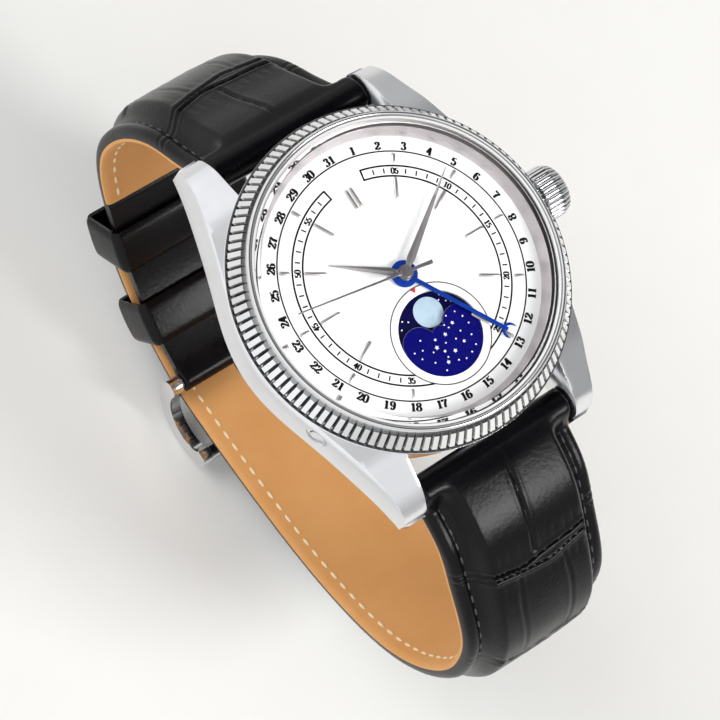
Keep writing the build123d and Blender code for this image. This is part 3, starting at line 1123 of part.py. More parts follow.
# Strap: both halves are ribbons lofted along a curve in the plane of the loop
class Ribbon:
    """One strap half: its curve, its side of the loop and how width and padding taper."""

    def __init__(self, shares, side, tip_width):
        points = [Vector(0, y, z) for y, z in scaled(shares, LOOP_SPAN, LOOP_DEPTH)]
        self.curve = Spline(*points)
        self.side = side
        self.tip_width = tip_width

    def plane(self, along):
        return Plane(self.curve @ along, x_dir=(-self.side, 0, 0), z_dir=self.curve % along)

    def half_width(self, along):
        taper = STRAP_WIDTH + (STRAP_END_WIDTH - STRAP_WIDTH) * min(1.0, along / TAPER_END_SHARE)
        point = max(0.0, along - TIP_START_SHARE) / (1 - TIP_START_SHARE)
        return (taper - (STRAP_END_WIDTH - self.tip_width) * point) / 2

    def pad(self, along):
        return PAD_THICKNESS + (PAD_END_THICKNESS - PAD_THICKNESS) * min(1.0, along / PAD_END_SHARE)

    def thickness(self, along):
        return LINING_THICKNESS + self.pad(along)

    def sweep(self, section, first=0.0, last=1.0):
        steps = [first + (last - first) * index / STRAP_STATIONS for index in range(STRAP_STATIONS + 1)]
        faces = [self.plane(step) * make_face(Polyline(*section(step), close=True)) for step in steps]
        return loft(faces, ruled=True)

    def lining_section(self, along):
        half = self.half_width(along)
        return ((-half, 0), (half, 0), (half, LINING_THICKNESS), (-half, LINING_THICKNESS))

    def leather_section(self, along):
        half = self.half_width(along)
        edge = LINING_THICKNESS + EDGE_THICKNESS
        shoulder = half - EDGE_MARGIN
        crown_top = LINING_THICKNESS + self.pad(along)
        flat = shoulder - PAD_SHOULDER
        return ((-half, LINING_THICKNESS), (half, LINING_THICKNESS), (half, edge), (shoulder, edge),
                (flat, crown_top), (-flat, crown_top), (-shoulder, edge), (-half, edge))

    def keeper(self, along, under, over):
        """A flat loop round the strap, from a depth under the curve to a height over it."""
        outer_half = self.half_width(along) + KEEPER_GAP + KEEPER_THICKNESS
        outer_height = over + under + 2 * KEEPER_THICKNESS
        centre = (over - under) / 2
        outline = Pos(0, centre) * RectangleRounded(2 * outer_half, outer_height, KEEPER_THICKNESS)
        outline -= Pos(0, centre) * Rectangle(2 * (outer_half - KEEPER_THICKNESS), over + under)
        frame = self.plane(along)
        return frame * (Pos(0, 0, -KEEPER_WIDTH / 2) * extrude(outline, KEEPER_WIDTH))


BUCKLE_SIDE = Ribbon(BUCKLE_PATH_SHARES, 1, STRAP_END_WIDTH)
TAIL_SIDE = Ribbon(TAIL_PATH_SHARES, -1, STRAP_TIP_WIDTH)


def lug_wrap(side, radius):
    half = STRAP_WIDTH / 2
    return rod_x(radius, -half, half, side * BAR_PLACE, BAR_HEIGHT)


def buckle_wrap(radius):
    y, z = BUCKLE_BAR_PLACE
    half = STRAP_END_WIDTH / 2
    return rod_x(radius, -half, half, y, z)


def buckle_strap_leather():
    """Padded half that carries the buckle: folded round the lug bar and round the buckle bar."""
    body = BUCKLE_SIDE.sweep(BUCKLE_SIDE.leather_section)
    body += [lug_wrap(1, LUG_WRAP_RADIUS), buckle_wrap(BUCKLE_WRAP_RADIUS)]
    body -= [lug_wrap(1, BAR_RADIUS + SEAT_GAP), buckle_wrap(BUCKLE_BAR_RADIUS + SEAT_GAP)]
    body -= BUCKLE_SIDE.sweep(BUCKLE_SIDE.lining_section)
    width, length = TONGUE_SLOT
    y, z = BUCKLE_BAR_PLACE
    return body - Pos(0, y, z) * Box(width, length, length)


def buckle_strap_lining():
    width, length = TONGUE_SLOT
    y, z = BUCKLE_BAR_PLACE
    lining = BUCKLE_SIDE.sweep(BUCKLE_SIDE.lining_section)
    lining -= [lug_wrap(1, BAR_RADIUS + SEAT_GAP), buckle_wrap(BUCKLE_BAR_RADIUS + SEAT_GAP)]
    return lining - Pos(0, y, z) * Box(width, length, length)


def tail_hole():
    """The punched hole that the tongue goes through."""
    width, length = TAIL_HOLE
    y, z = BUCKLE_BAR_PLACE
    return Pos(0, y + TAIL_HOLE_LEAD - length / 2, z) * Box(width, length, 4 * length)


def tail_strap_leather():
    body = TAIL_SIDE.sweep(TAIL_SIDE.leather_section)
    body += lug_wrap(-1, LUG_WRAP_RADIUS)
    body -= TAIL_SIDE.sweep(TAIL_SIDE.lining_section)
    return body - lug_wrap(-1, BAR_RADIUS + SEAT_GAP) - tail_hole()


def tail_strap_lining():
    lining = TAIL_SIDE.sweep(TAIL_SIDE.lining_section)
    return lining - lug_wrap(-1, BAR_RADIUS + SEAT_GAP) - tail_hole()


def keeper(share):
    """Loop round both strap ends, where the tail lies on the buckle strap."""
    full = BUCKLE_SIDE.thickness(share) + TAIL_SIDE.thickness(1.0) + 3 * KEEPER_GAP
    return BUCKLE_SIDE.keeper(share, KEEPER_GAP, full)


def fixed_keeper():
    return keeper(FIXED_KEEPER_SHARE)


def free_keeper():
    return keeper(FREE_KEEPER_SHARE)


# Buckle
def side_curve(shares):
    """Points of the buckle seen from its side, counted from its bar."""
    y, z = BUCKLE_BAR_PLACE
    return [(y + BUCKLE_LENGTH * along, z - BUCKLE_DEPTH * down) for along, down in shares]


def buckle_frame():
    """Two curved arms with round eyes on the bar and a thicker front rod."""
    points = side_curve(BUCKLE_ARM_SHARES)
    half = BUCKLE_INNER_WIDTH / 2
    strip = trace(Spline(BUCKLE_BAR_PLACE, *points), 2 * BUCKLE_ARM_RADIUS)
    eye = Circle(BUCKLE_ARM_RADIUS)
    side_view = strip + Pos(*BUCKLE_BAR_PLACE) * eye + Pos(*points[-1]) * eye
    y, z = points[-1]
    frame = rod_x(BUCKLE_FRONT_RADIUS, -half, half, y, z)
    for start in (half, -half - BUCKLE_ARM_WIDTH):
        frame += Plane.YZ * (Pos(0, 0, start) * extrude(side_view, BUCKLE_ARM_WIDTH))
    return frame


def buckle_bar():
    y, z = BUCKLE_BAR_PLACE
    half = BUCKLE_INNER_WIDTH / 2
    return rod_x(BUCKLE_BAR_RADIUS, -half, half, y, z)


def buckle_tongue():
    """Flat tongue with an eye round the bar, bent to rest on the front rod."""
    points = side_curve(TONGUE_SHARES)
    strip = trace(Spline(BUCKLE_BAR_PLACE, *points), TONGUE_THICKNESS)
    eye = Pos(*BUCKLE_BAR_PLACE) * Circle(TONGUE_EYE_RADIUS)
    bore = Pos(*BUCKLE_BAR_PLACE) * Circle(BUCKLE_BAR_RADIUS + SEAT_GAP)
    side_view = strip + eye - bore
    return Plane.YZ * (Pos(0, 0, -TONGUE_WIDTH / 2) * extrude(side_view, TONGUE_WIDTH))


PARTS = (
    case_body, case_back, back_crystal, case_back_gasket, bezel, crystal, crystal_gasket, rehaut_ring,
    corrector_sleeve, corrector_pusher, crown_tube, crown, crown_gasket, winding_stem,
    dial, hour_markers, twelve_marker, moon_window_plate, moon_disc, moons,
    hour_hand, minute_hand, seconds_hand, date_hand,
    cannon_pinion, minute_wheel, hour_wheel, date_wheel,
    mainplate, mainspring_barrel, centre_wheel, third_wheel, fourth_wheel, escape_wheel, pallet_fork,
    balance_wheel, hairspring, balance_cock, barrel_bridge, train_bridge, jewels, movement_screws,
    ratchet_wheel, crown_wheel, winding_pinion, rotor, rotor_bearing, movement_ring,
    spring_bar_12, spring_bar_6, buckle_strap_leather, buckle_strap_lining,
    tail_strap_leather, tail_strap_lining, fixed_keeper, free_keeper,
    buckle_frame, buckle_bar, buckle_tongue,
)

os.makedirs("parts", exist_ok=True)
for build in PARTS:
    export_step(build(), "parts/" + build.__name__ + ".step")
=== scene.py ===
"""Wrist watch with a moon phase and a pointer date: finishes, prints, strap and studio."""
import json
import logging
import math
from dataclasses import dataclass
from enum import Enum
from typing import Callable, Iterable, Sequence

import bmesh
import bpy
import numpy as np
from mathutils import Matrix, Vector

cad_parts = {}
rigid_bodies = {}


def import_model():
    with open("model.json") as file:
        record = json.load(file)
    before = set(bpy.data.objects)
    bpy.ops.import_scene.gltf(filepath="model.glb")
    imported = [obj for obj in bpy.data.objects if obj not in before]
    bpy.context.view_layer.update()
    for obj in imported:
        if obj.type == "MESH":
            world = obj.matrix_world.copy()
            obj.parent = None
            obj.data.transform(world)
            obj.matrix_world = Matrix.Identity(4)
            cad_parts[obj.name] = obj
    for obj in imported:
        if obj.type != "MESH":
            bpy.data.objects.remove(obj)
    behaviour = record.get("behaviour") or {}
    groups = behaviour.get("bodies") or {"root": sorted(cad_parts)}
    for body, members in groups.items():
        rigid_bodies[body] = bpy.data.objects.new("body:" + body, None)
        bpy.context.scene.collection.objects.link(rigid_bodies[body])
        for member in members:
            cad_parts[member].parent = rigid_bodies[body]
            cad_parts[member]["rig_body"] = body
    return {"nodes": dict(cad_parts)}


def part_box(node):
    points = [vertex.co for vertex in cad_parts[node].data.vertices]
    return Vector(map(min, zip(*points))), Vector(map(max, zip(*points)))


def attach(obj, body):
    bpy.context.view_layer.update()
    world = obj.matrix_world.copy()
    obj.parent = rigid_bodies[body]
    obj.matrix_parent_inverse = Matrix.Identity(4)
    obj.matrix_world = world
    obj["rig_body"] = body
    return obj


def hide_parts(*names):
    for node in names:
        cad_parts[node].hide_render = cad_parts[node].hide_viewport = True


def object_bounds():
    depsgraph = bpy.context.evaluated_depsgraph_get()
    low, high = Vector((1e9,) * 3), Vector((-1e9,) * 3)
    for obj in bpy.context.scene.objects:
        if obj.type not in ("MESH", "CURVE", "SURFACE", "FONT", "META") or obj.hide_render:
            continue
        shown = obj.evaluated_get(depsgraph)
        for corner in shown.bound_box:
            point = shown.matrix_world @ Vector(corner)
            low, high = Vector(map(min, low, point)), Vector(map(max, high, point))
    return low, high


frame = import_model()
cad_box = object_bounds()

LOG = logging.getLogger("watch")
MM = 0.001
TURN = 2 * math.pi
WELD = 2e-6
FINE_WELD = 1e-7
FLAT_DEGREES = 0.4
HOUR_TURN = 30
MINUTE_TURN = 6
DAYS = 31
Point = tuple[float, ...]
Array = np.ndarray
Pair = tuple[Array, Array]
Piece = bpy.types.Object
Tree = bpy.types.NodeTree
Node = bpy.types.Node
Socket = bpy.types.NodeSocket


# Small tools
def linear(code: str) -> tuple[float, float, float, float]:
    """Turn an sRGB hex colour into linear light.

    Args:
        code: Six hex digits.

    Returns:
        Red, green, blue and alpha.
    """
    parts = [int(code[i:i + 2], 16) / 255 for i in (0, 2, 4)]
    light = [c / 12.92 if c <= 0.04045 else ((c + 0.055) / 1.055) ** 2.4 for c in parts]
    return (*light, 1.0)


def per_mm(size: float) -> float:
    """Return the texture scale of a pattern whose cell is that many millimetres."""
    return 1 / (size * MM)


def polar(radius: float, clock: float) -> tuple[float, float]:
    """Return the place on the plan at an angle in degrees, clockwise from 12 o'clock."""
    turn = math.radians(clock)
    return radius * math.sin(turn), radius * math.cos(turn)


def smoothstep(value: Array) -> Array:
    """Return the soft step from 0 to 1 of a clipped value."""
    share = np.clip(value, 0, 1)
    return share * share * (3 - 2 * share)


def add(tree: Tree, kind: str, links: dict | None = None, **settings: object) -> Node:
    """Add one node with its settings and inputs.

    Args:
        tree: The tree that gets the node.
        kind: The node's type.
        links: Input name or number to a value, or to the socket that feeds it.
        settings: Properties of the node.

    Returns:
        The new node.
    """
    made = tree.nodes.new(kind)
    for key, value in settings.items():
        setattr(made, key, value)
    for name, value in (links or {}).items():
        if isinstance(value, Socket):
            tree.links.new(value, made.inputs[name])
        else:
            made.inputs[name].default_value = value
    return made


def solid(name: str, points: Iterable[Point], faces: Iterable[Sequence[int]],
          edges: Sequence[Sequence[int]] = ()) -> Piece:
    """Make a mesh object from millimetre points.

    Args:
        name: The piece's name.
        points: Vertices in millimetres.
        faces: Vertex numbers of each face.
        edges: Vertex numbers of each loose edge.

    Returns:
        The linked object.
    """
    mesh = bpy.data.meshes.new(name)
    mesh.from_pydata([tuple(c * MM for c in p) for p in points], edges, [tuple(f) for f in faces])
    made = bpy.data.objects.new(name, mesh)
    bpy.context.scene.collection.objects.link(made)
    return made


def closed(obj: Piece, distance: float = 1e-6) -> Piece:
    """Merge doubles and turn all faces outwards.

    Args:
        obj: The mesh object.
        distance: Points nearer than this, in metres, are merged.

    Returns:
        The same object.
    """
    shape = bmesh.new()
    shape.from_mesh(obj.data)
    bmesh.ops.remove_doubles(shape, verts=shape.verts, dist=distance)
    bmesh.ops.recalc_face_normals(shape, faces=shape.faces)
    shape.to_mesh(obj.data)
    shape.free()
    return obj


def softened(obj: Piece, degrees: float = 30) -> Piece:
    """Shade a mesh smooth except at its sharp edges.

    Args:
        obj: The mesh object.
        degrees: Edges sharper than this stay sharp.

    Returns:
        The same object.
    """
    obj.data.shade_smooth()
    obj.data.set_sharp_from_angle(angle=math.radians(degrees))
    return obj


def baked(obj: Piece) -> Piece:
    """Replace an object's mesh by its result with modifiers, and drop the modifiers.

    Args:
        obj: The object with modifiers.

    Returns:
        The same object.
    """
    graph = bpy.context.evaluated_depsgraph_get()
    mesh = bpy.data.meshes.new_from_object(obj.evaluated_get(graph))
    obj.modifiers.clear()
    obj.data = mesh
    return obj


def bevelled(obj: Piece, width: float, segments: int = 2, degrees: float = 30) -> Piece:
    """Round a mesh's sharp edges.

    Args:
        obj: The mesh object.
        width: The rounding in millimetres.
        segments: Faces across the rounding.
        degrees: Edges sharper than this are rounded.

    Returns:
        The same object.
    """
    edge = obj.modifiers.new("edge", "BEVEL")
    edge.width = width * MM
    edge.segments = segments
    edge.limit_method = "ANGLE"
    edge.angle_limit = math.radians(degrees)
    edge.use_clamp_overlap = True
    edge.harden_normals = False
    return baked(obj)


def grid_faces(rows: int, columns: int, wrap_rows: bool = False,
               wrap_columns: bool = False) -> list[Sequence[int]]:
    """Number the quads of a grid of points stored row by row.

    Args:
        rows: Rows of points.
        columns: Points in a row.
        wrap_rows: Joins the last row to the first.
        wrap_columns: Joins the last column to the first.

    Returns:
        The quads.
    """
    faces = []
    for i in range(rows if wrap_rows else rows - 1):
        for j in range(columns if wrap_columns else columns - 1):
            k, m = (i + 1) % rows, (j + 1) % columns
            faces.append((i * columns + j, i * columns + m, k * columns + m, k * columns + j))
    return faces


def lathe(name: str, profile: Sequence[Point], steps: int = 240) -> Piece:
    """Turn a closed profile of (radius, height) about Z.

    Args:
        name: The piece's name.
        profile: Corners in millimetres, going round once.
        steps: Faces round the turn.

    Returns:
        The closed ring or disc.
    """
    points = []
    for i in range(steps):
        turn = TURN * i / steps
        points += [(r * math.cos(turn), r * math.sin(turn), z) for r, z in profile]
    return closed(solid(name, points, grid_faces(steps, len(profile), True, True)))


def arc(centre: Point, radius: float, start: float, end: float, steps: int) -> list[Point]:
    """Return points on a circle from one angle to another, in degrees from +X."""
    turns = [math.radians(start + (end - start) * i / steps) for i in range(steps + 1)]
    return [(centre[0] + radius * math.cos(t), centre[1] + radius * math.sin(t)) for t in turns]


def dot(centre: Point, radius: float, sides: int) -> list[Point]:
    """Return the outline of a printed dot, a small polygon."""
    return arc(centre, radius, 0, 360 - 360 / sides, sides - 1)


def plate(name: str, outlines: Iterable[Sequence[Point]], low: float, high: float) -> Piece:
    """Raise flat outlines between two heights, each a closed solid.

    Args:
        name: The piece's name.
        outlines: Closed outlines, each convex or star shaped about its middle.
        low: Height of the underside.
        high: Height of the top.

    Returns:
        One object that holds them all.
    """
    points, faces = [], []
    for outline in outlines:
        count, first = len(outline), len(points)
        mid = (sum(x for x, _ in outline) / count, sum(y for _, y in outline) / count)
        points += [(x, y, z) for z in (low, high) for x, y in (*outline, mid)]
        top = first + count + 1
        for i in range(count):
            j = (i + 1) % count
            faces.append((first + i, first + j, top + j, top + i))
            faces.append((first + j, first + i, first + count))
            faces.append((top + i, top + j, top + count))
    return closed(solid(name, points, faces), 0.0)


def strips(name: str, lines: Iterable[tuple[Sequence[Point], Sequence[Point]]], low: float,
           high: float) -> Piece:
    """Raise ribbons, each given by its left and right edge, between two heights.

    Args:
        name: The piece's name.
        lines: Pairs of edges with as many points each.
        low: Height of the underside.
        high: Height of the top.

    Returns:
        One object that holds them all.
    """
    points, faces = [], []
    for left, right in lines:
        first, count = len(points), len(left)
        for (ax, ay), (bx, by) in zip(left, right):
            points += [(ax, ay, low), (bx, by, low), (bx, by, high), (ax, ay, high)]
        faces += [[first + k for k in f] for f in grid_faces(count, 4, False, True)]
        last = first + 4 * (count - 1)
        faces += [(first, first + 1, first + 2, first + 3), (last + 3, last + 2, last + 1, last)]
    return closed(solid(name, points, faces), 0.0)


def cad(node: str) -> Piece:
    """Return a CAD node's object."""
    return frame["nodes"][node]


def levels(node: str) -> tuple[float, float]:
    """Return the heights of a CAD node's underside and top in millimetres."""
    low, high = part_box(node)
    return low.z / MM, high.z / MM


def body_of(node: str) -> str:
    """Return the name of the body that carries a CAD node."""
    return cad(node)["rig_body"]


def dressed(obj: Piece, finish: "Finish") -> Piece:
    """Give an object one finish, in place of what it had.

    Args:
        obj: The piece.
        finish: Its finish.

    Returns:
        The same object.
    """
    obj.data.materials.clear()
    obj.data.materials.append(finish.material())
    obj.data.polygons.foreach_set("material_index", [0] * len(obj.data.polygons))
    return obj


def placed(obj: Piece, finish: "Finish", slot: str, body: str, *nodes: str) -> Piece:
    """Dress a new piece, seat it on its body and hide the CAD nodes that it replaces.

    Args:
        obj: The piece.
        finish: Its finish.
        slot: Not used.
        body: The CAD body that it rides on.
        nodes: CAD nodes that it replaces.

    Returns:
        The same object.
    """
    dressed(obj, finish)
    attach(obj, body)
    if nodes:
        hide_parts(*nodes)
    LOG.info("%s on %s: %d faces", obj.name, body, len(obj.data.polygons))
    return obj


def refined(node: str, width: float, degrees: float = 30, segments: int = 2) -> Piece:
    """Copy a CAD node as one merged mesh with rounded edges and smooth shading.

    Args:
        node: The CAD node.
        width: Rounding of its edges in millimetres.
        degrees: Edges sharper than this are rounded.
        segments: Faces across a rounding.

    Returns:
        The new object.
    """
    mesh = cad(node).data.copy()
    made = bpy.data.objects.new(node + "_shell", mesh)
    bpy.context.scene.collection.objects.link(made)
    shape = bmesh.new()
    shape.from_mesh(mesh)
    bmesh.ops.remove_doubles(shape, verts=shape.verts, dist=WELD)
    flat = math.radians(FLAT_DEGREES)
    bmesh.ops.dissolve_limit(shape, angle_limit=flat, verts=shape.verts, edges=shape.edges)
    shape.to_mesh(mesh)
    shape.free()
    return softened(bevelled(made, width, segments, degrees), degrees)


def shelled(node: str, finish: "Finish", slot: str, width: float, segments: int = 2) -> None:
    """Put a refined copy in the place of a CAD node."""
    placed(refined(node, width, segments=segments), finish, slot, body_of(node), node)


def evened(obj: Piece) -> Piece:
    """Weight a mesh's normals by face area, so that flats stay flat beside rounded edges."""
    obj.modifiers.new("even", "WEIGHTED_NORMAL").keep_sharp = True
    return baked(obj)


# Finishes
class Lay(Enum):
    """How a metal surface was worked."""

    POLISHED = "polished"
    BRUSHED = "brushed"
    TURNED = "turned"
    STRIPED = "striped"
    SPOTTED = "spotted"


class Finish:
    """A surface finish that makes its material once."""

    made: dict[str, bpy.types.Material] = {}
    name: str

    def material(self) -> bpy.types.Material:
        """Make the material at first use.

        Returns:
            The material.
        """
        if self.name not in Finish.made:
            found = bpy.data.materials.new(self.name)
            found.use_nodes = True
            found.node_tree.nodes.clear()
            self.build(found.node_tree)
            Finish.made[self.name] = found
        return Finish.made[self.name]

    def build(self, tree: Tree) -> None:
        """Fill the material's node tree."""
        raise NotImplementedError


def shader(tree: Tree, links: dict) -> None:
    """Add the main shader with its inputs, and the output."""
    main = add(tree, "ShaderNodeBsdfPrincipled", links)
    add(tree, "ShaderNodeOutputMaterial", {"Surface": main.outputs[0]})


def uneven(tree: Tree, pattern: Socket, roughness: float, spread: Point) -> Socket:
    """Turn a 0 to 1 pattern into a roughness between two shares of its mean."""
    links = {"Value": pattern, "To Min": roughness * spread[0], "To Max": roughness * spread[1]}
    return add(tree, "ShaderNodeMapRange", links).outputs["Result"]


def blend(tree: Tree, share: Socket, first: str, second: str) -> Socket:
    """Mix two hex colours by a share."""
    mix = add(tree, "ShaderNodeMix", {0: share, 6: linear(first), 7: linear(second)}, data_type="RGBA")
    return mix.outputs[2]


@dataclass(frozen=True)
class Metal(Finish):
    """A metal with fine working marks and handling wear."""

    name: str
    colour: str
    roughness: float
    lay: Lay = Lay.POLISHED
    grain: float = 0.08
    relief: float = 0.02
    pitch: float = 1.4
    doming: float = 0.0
    # Share of the colour kept in narrow hollows, where shade is painted in; 1 paints none.
    hollow: float = 1.0
    spread: Point = (0.75, 1.3)
    cloud: float = 3.5
    cloud_shade: float = 0.94
    stripe_factor: float = 20.0
    spot_drift: float = 0.25
    spot_rings: float = 38.0
    brushed_stretch: Point = (1.0, 0.02, 1.0)
    hollow_reach: float = 0.7
    hollow_power: float = 1.6
    dome_height: float = 0.5
    wall_limits: Point = (0.15, 0.6)
    relief_gain: float = 10.0

    def marks(self, tree: Tree, place: Socket) -> Socket:
        """Add the pattern of the working marks.

        Args:
            tree: The material's tree.
            place: Socket with the place on the piece.

        Returns:
            Socket with the marks' height.
        """
        if self.lay is Lay.STRIPED:
            wave = add(tree, "ShaderNodeTexWave", {
                "Vector": place, "Scale": per_mm(self.pitch) / self.stripe_factor, "Distortion": 0.0},
                       bands_direction="DIAGONAL")
            return wave.outputs["Fac"]
        if self.lay is Lay.SPOTTED:
            spots = add(tree, "ShaderNodeTexVoronoi", {
                "Vector": place, "Scale": per_mm(self.pitch), "Randomness": self.spot_drift})
            rings = add(tree, "ShaderNodeMath", {0: spots.outputs["Distance"], 1: self.spot_rings},
                        operation="MULTIPLY")
            return add(tree, "ShaderNodeMath", {0: rings.outputs[0]}, operation="SINE").outputs[0]
        if self.lay is Lay.TURNED:
            apart = add(tree, "ShaderNodeSeparateXYZ", {0: place})
            flat = add(tree, "ShaderNodeCombineXYZ", {0: apart.outputs[0], 1: apart.outputs[1]})
            radius = add(tree, "ShaderNodeVectorMath", {0: flat.outputs[0]}, operation="LENGTH")
            noise = add(tree, "ShaderNodeTexNoise", {
                "W": radius.outputs["Value"], "Scale": per_mm(self.grain), "Detail": 3.0},
                        noise_dimensions="1D")
            return noise.outputs["Fac"]
        stretch = self.brushed_stretch if self.lay is Lay.BRUSHED else (1.0, 1.0, 1.0)
        mapped = add(tree, "ShaderNodeMapping", {"Vector": place, "Scale": stretch})
        noise = add(tree, "ShaderNodeTexNoise", {
            "Vector": mapped.outputs[0], "Scale": per_mm(self.grain), "Detail": 4.0})
        return noise.outputs["Fac"]

    def build(self, tree: Tree) -> None:
        """Fill the tree with the metal, its marks, faint wear clouds and, where set, painted shade in
        hollows.

        Args:
            tree: The material's tree.
        """
        place = add(tree, "ShaderNodeTexCoord").outputs["Object"]
        marks = self.marks(tree, place)
        clouds = add(tree, "ShaderNodeTexNoise", {
            "Vector": place, "Scale": per_mm(self.cloud), "Detail": 3.0})
        bump = add(tree, "ShaderNodeBump", {
            "Height": marks, "Strength": min(1.0, self.relief * self.relief_gain),
            "Distance": self.relief * MM})
        rough = uneven(tree, clouds.outputs["Fac"], self.roughness, self.spread)
        tint = blend(tree, clouds.outputs["Fac"], self.colour, shade_of(self.colour, self.cloud_shade))
        # Painted shade: the colour darkens in narrow hollows.
        if self.hollow < 1:
            tint = self.soiled(tree, tint)
        facing = self.domed(tree, place, bump.outputs[0]) if self.doming else bump.outputs[0]
        shader(tree, {"Base Color": tint, "Metallic": 1.0, "Roughness": rough, "Normal": facing})

    def soiled(self, tree: Tree, tint: Socket) -> Socket:
        """Paint shade into narrow hollows: darken the tint where ambient occlusion finds close surfaces.

        Args:
            tree: The material's tree.
            tint: Socket with the metal's colour.

        Returns:
            Socket with the darkened colour.
        """
        open_share = add(tree, "ShaderNodeAmbientOcclusion", {"Distance": self.hollow_reach * MM}, samples=6)
        share = add(tree, "ShaderNodeMath", {0: open_share.outputs["AO"], 1: self.hollow_power},
                    operation="POWER")
        links = {0: share.outputs[0], 6: linear(shade_of(self.colour, self.hollow)), 7: tint}
        return add(tree, "ShaderNodeMix", links, data_type="RGBA").outputs[2]

    def domed(self, tree: Tree, place: Socket, normal: Socket) -> Socket:
        """Lean the normal of upright walls back towards their top, as on a rounded flank.

        Args:
            tree: The material's tree.
            place: Socket with the place on the piece.
            normal: Socket with the normal so far.

        Returns:
            Socket with the new normal.
        """
        apart = add(tree, "ShaderNodeSeparateXYZ", {0: place})
        above = add(tree, "ShaderNodeMath", {0: apart.outputs[2], 1: self.dome_height * MM},
                    operation="SUBTRACT")
        square = add(tree, "ShaderNodeMath", {0: above.outputs[0], 1: 2.0}, operation="POWER")
        height = add(tree, "ShaderNodeMath", {0: square.outputs[0], 1: -self.doming / (2 * MM)},
                     operation="MULTIPLY")
        lean = add(tree, "ShaderNodeBump", {
            "Height": height.outputs[0], "Strength": 1.0, "Distance": 1.0, "Normal": normal})
        flat = add(tree, "ShaderNodeSeparateXYZ", {
            0: add(tree, "ShaderNodeNewGeometry").outputs["True Normal"]})
        upright = add(tree, "ShaderNodeMath", {0: flat.outputs[2]}, operation="ABSOLUTE")
        share = add(tree, "ShaderNodeMapRange", {
            "Value": upright.outputs[0], "From Min": self.wall_limits[0], "From Max": self.wall_limits[1],
            "To Min": 1.0, "To Max": 0.0})
        mixed = add(tree, "ShaderNodeMix", {0: share.outputs["Result"], 4: normal, 5: lean.outputs[0]},
                    data_type="VECTOR")
        return add(tree, "ShaderNodeVectorMath", {0: mixed.outputs[1]}, operation="NORMALIZE").outputs[0]


def shade_of(code: str, share: float) -> str:
    """Return a hex colour darkened to a share of its values."""
    return "".join(f"{min(255, round(int(code[i:i + 2], 16) * share)):02X}" for i in (0, 2, 4))


@dataclass(frozen=True)
class Coating(Finish):
    """Lacquer, enamel, ink or rubber: an opaque skin with a soft unevenness."""

    name: str
    colour: str
    second: str
    roughness: float
    cell: float = 0.6
    relief: float = 0.004
    coat: float = 0.0
    gloss: float = 0.5
    spread: Point = (0.85, 1.15)
    fine_parts: float = 6.0
    strength: float = 0.3
    coat_roughness: float = 0.08

    def build(self, tree: Tree) -> None:
        """Fill the tree with two tones, uneven gloss and a fine relief.

        Args:
            tree: The material's tree.
        """
        place = add(tree, "ShaderNodeTexCoord").outputs["Object"]
        clouds = add(tree, "ShaderNodeTexNoise", {"Vector": place, "Scale": per_mm(self.cell), "Detail": 5.0})
        fine = add(tree, "ShaderNodeTexNoise", {
            "Vector": place, "Scale": per_mm(self.cell / self.fine_parts), "Detail": 2.0})
        bump = add(tree, "ShaderNodeBump", {
            "Height": fine.outputs["Fac"], "Strength": self.strength, "Distance": self.relief * MM})
        rough = uneven(tree, clouds.outputs["Fac"], self.roughness, self.spread)
        shader(tree, {"Base Color": blend(tree, clouds.outputs["Fac"], self.colour, self.second),
                      "Roughness": rough, "Normal": bump.outputs[0], "Coat Weight": self.coat,
                      "Coat Roughness": self.coat_roughness, "Specular IOR Level": self.gloss})


@dataclass(frozen=True)
class Leather(Finish):
    """Calf leather with a pebbled grain, pores and rubbed high spots."""

    name: str
    colour: str
    rubbed: str
    roughness: float
    grain: float
    relief: float
    gloss: float = 0.5
    spread: Point = (0.8, 1.25)
    patch: float = 6.0
    pore_parts: float = 3.0
    strength: float = 0.5

    def build(self, tree: Tree) -> None:
        """Fill the tree with grain cells, fine pores and colour drift.

        Args:
            tree: The material's tree.
        """
        place = add(tree, "ShaderNodeTexCoord").outputs["Object"]
        drift = add(tree, "ShaderNodeTexNoise", {"Vector": place, "Scale": per_mm(self.patch), "Detail": 4.0})
        cells = add(tree, "ShaderNodeTexVoronoi", {"Vector": place, "Scale": per_mm(self.grain)},
                    feature="SMOOTH_F1")
        pores = add(tree, "ShaderNodeTexNoise", {
            "Vector": place, "Scale": per_mm(self.grain / self.pore_parts), "Detail": 4.0})
        height = add(tree, "ShaderNodeMath", {0: cells.outputs["Distance"], 1: pores.outputs["Fac"]},
                     operation="ADD")
        bump = add(tree, "ShaderNodeBump", {
            "Height": height.outputs[0], "Strength": self.strength, "Distance": self.relief * MM})
        rough = uneven(tree, drift.outputs["Fac"], self.roughness, self.spread)
        shader(tree, {"Base Color": blend(tree, drift.outputs["Fac"], self.colour, self.rubbed),
                      "Roughness": rough, "Normal": bump.outputs[0], "Specular IOR Level": self.gloss})


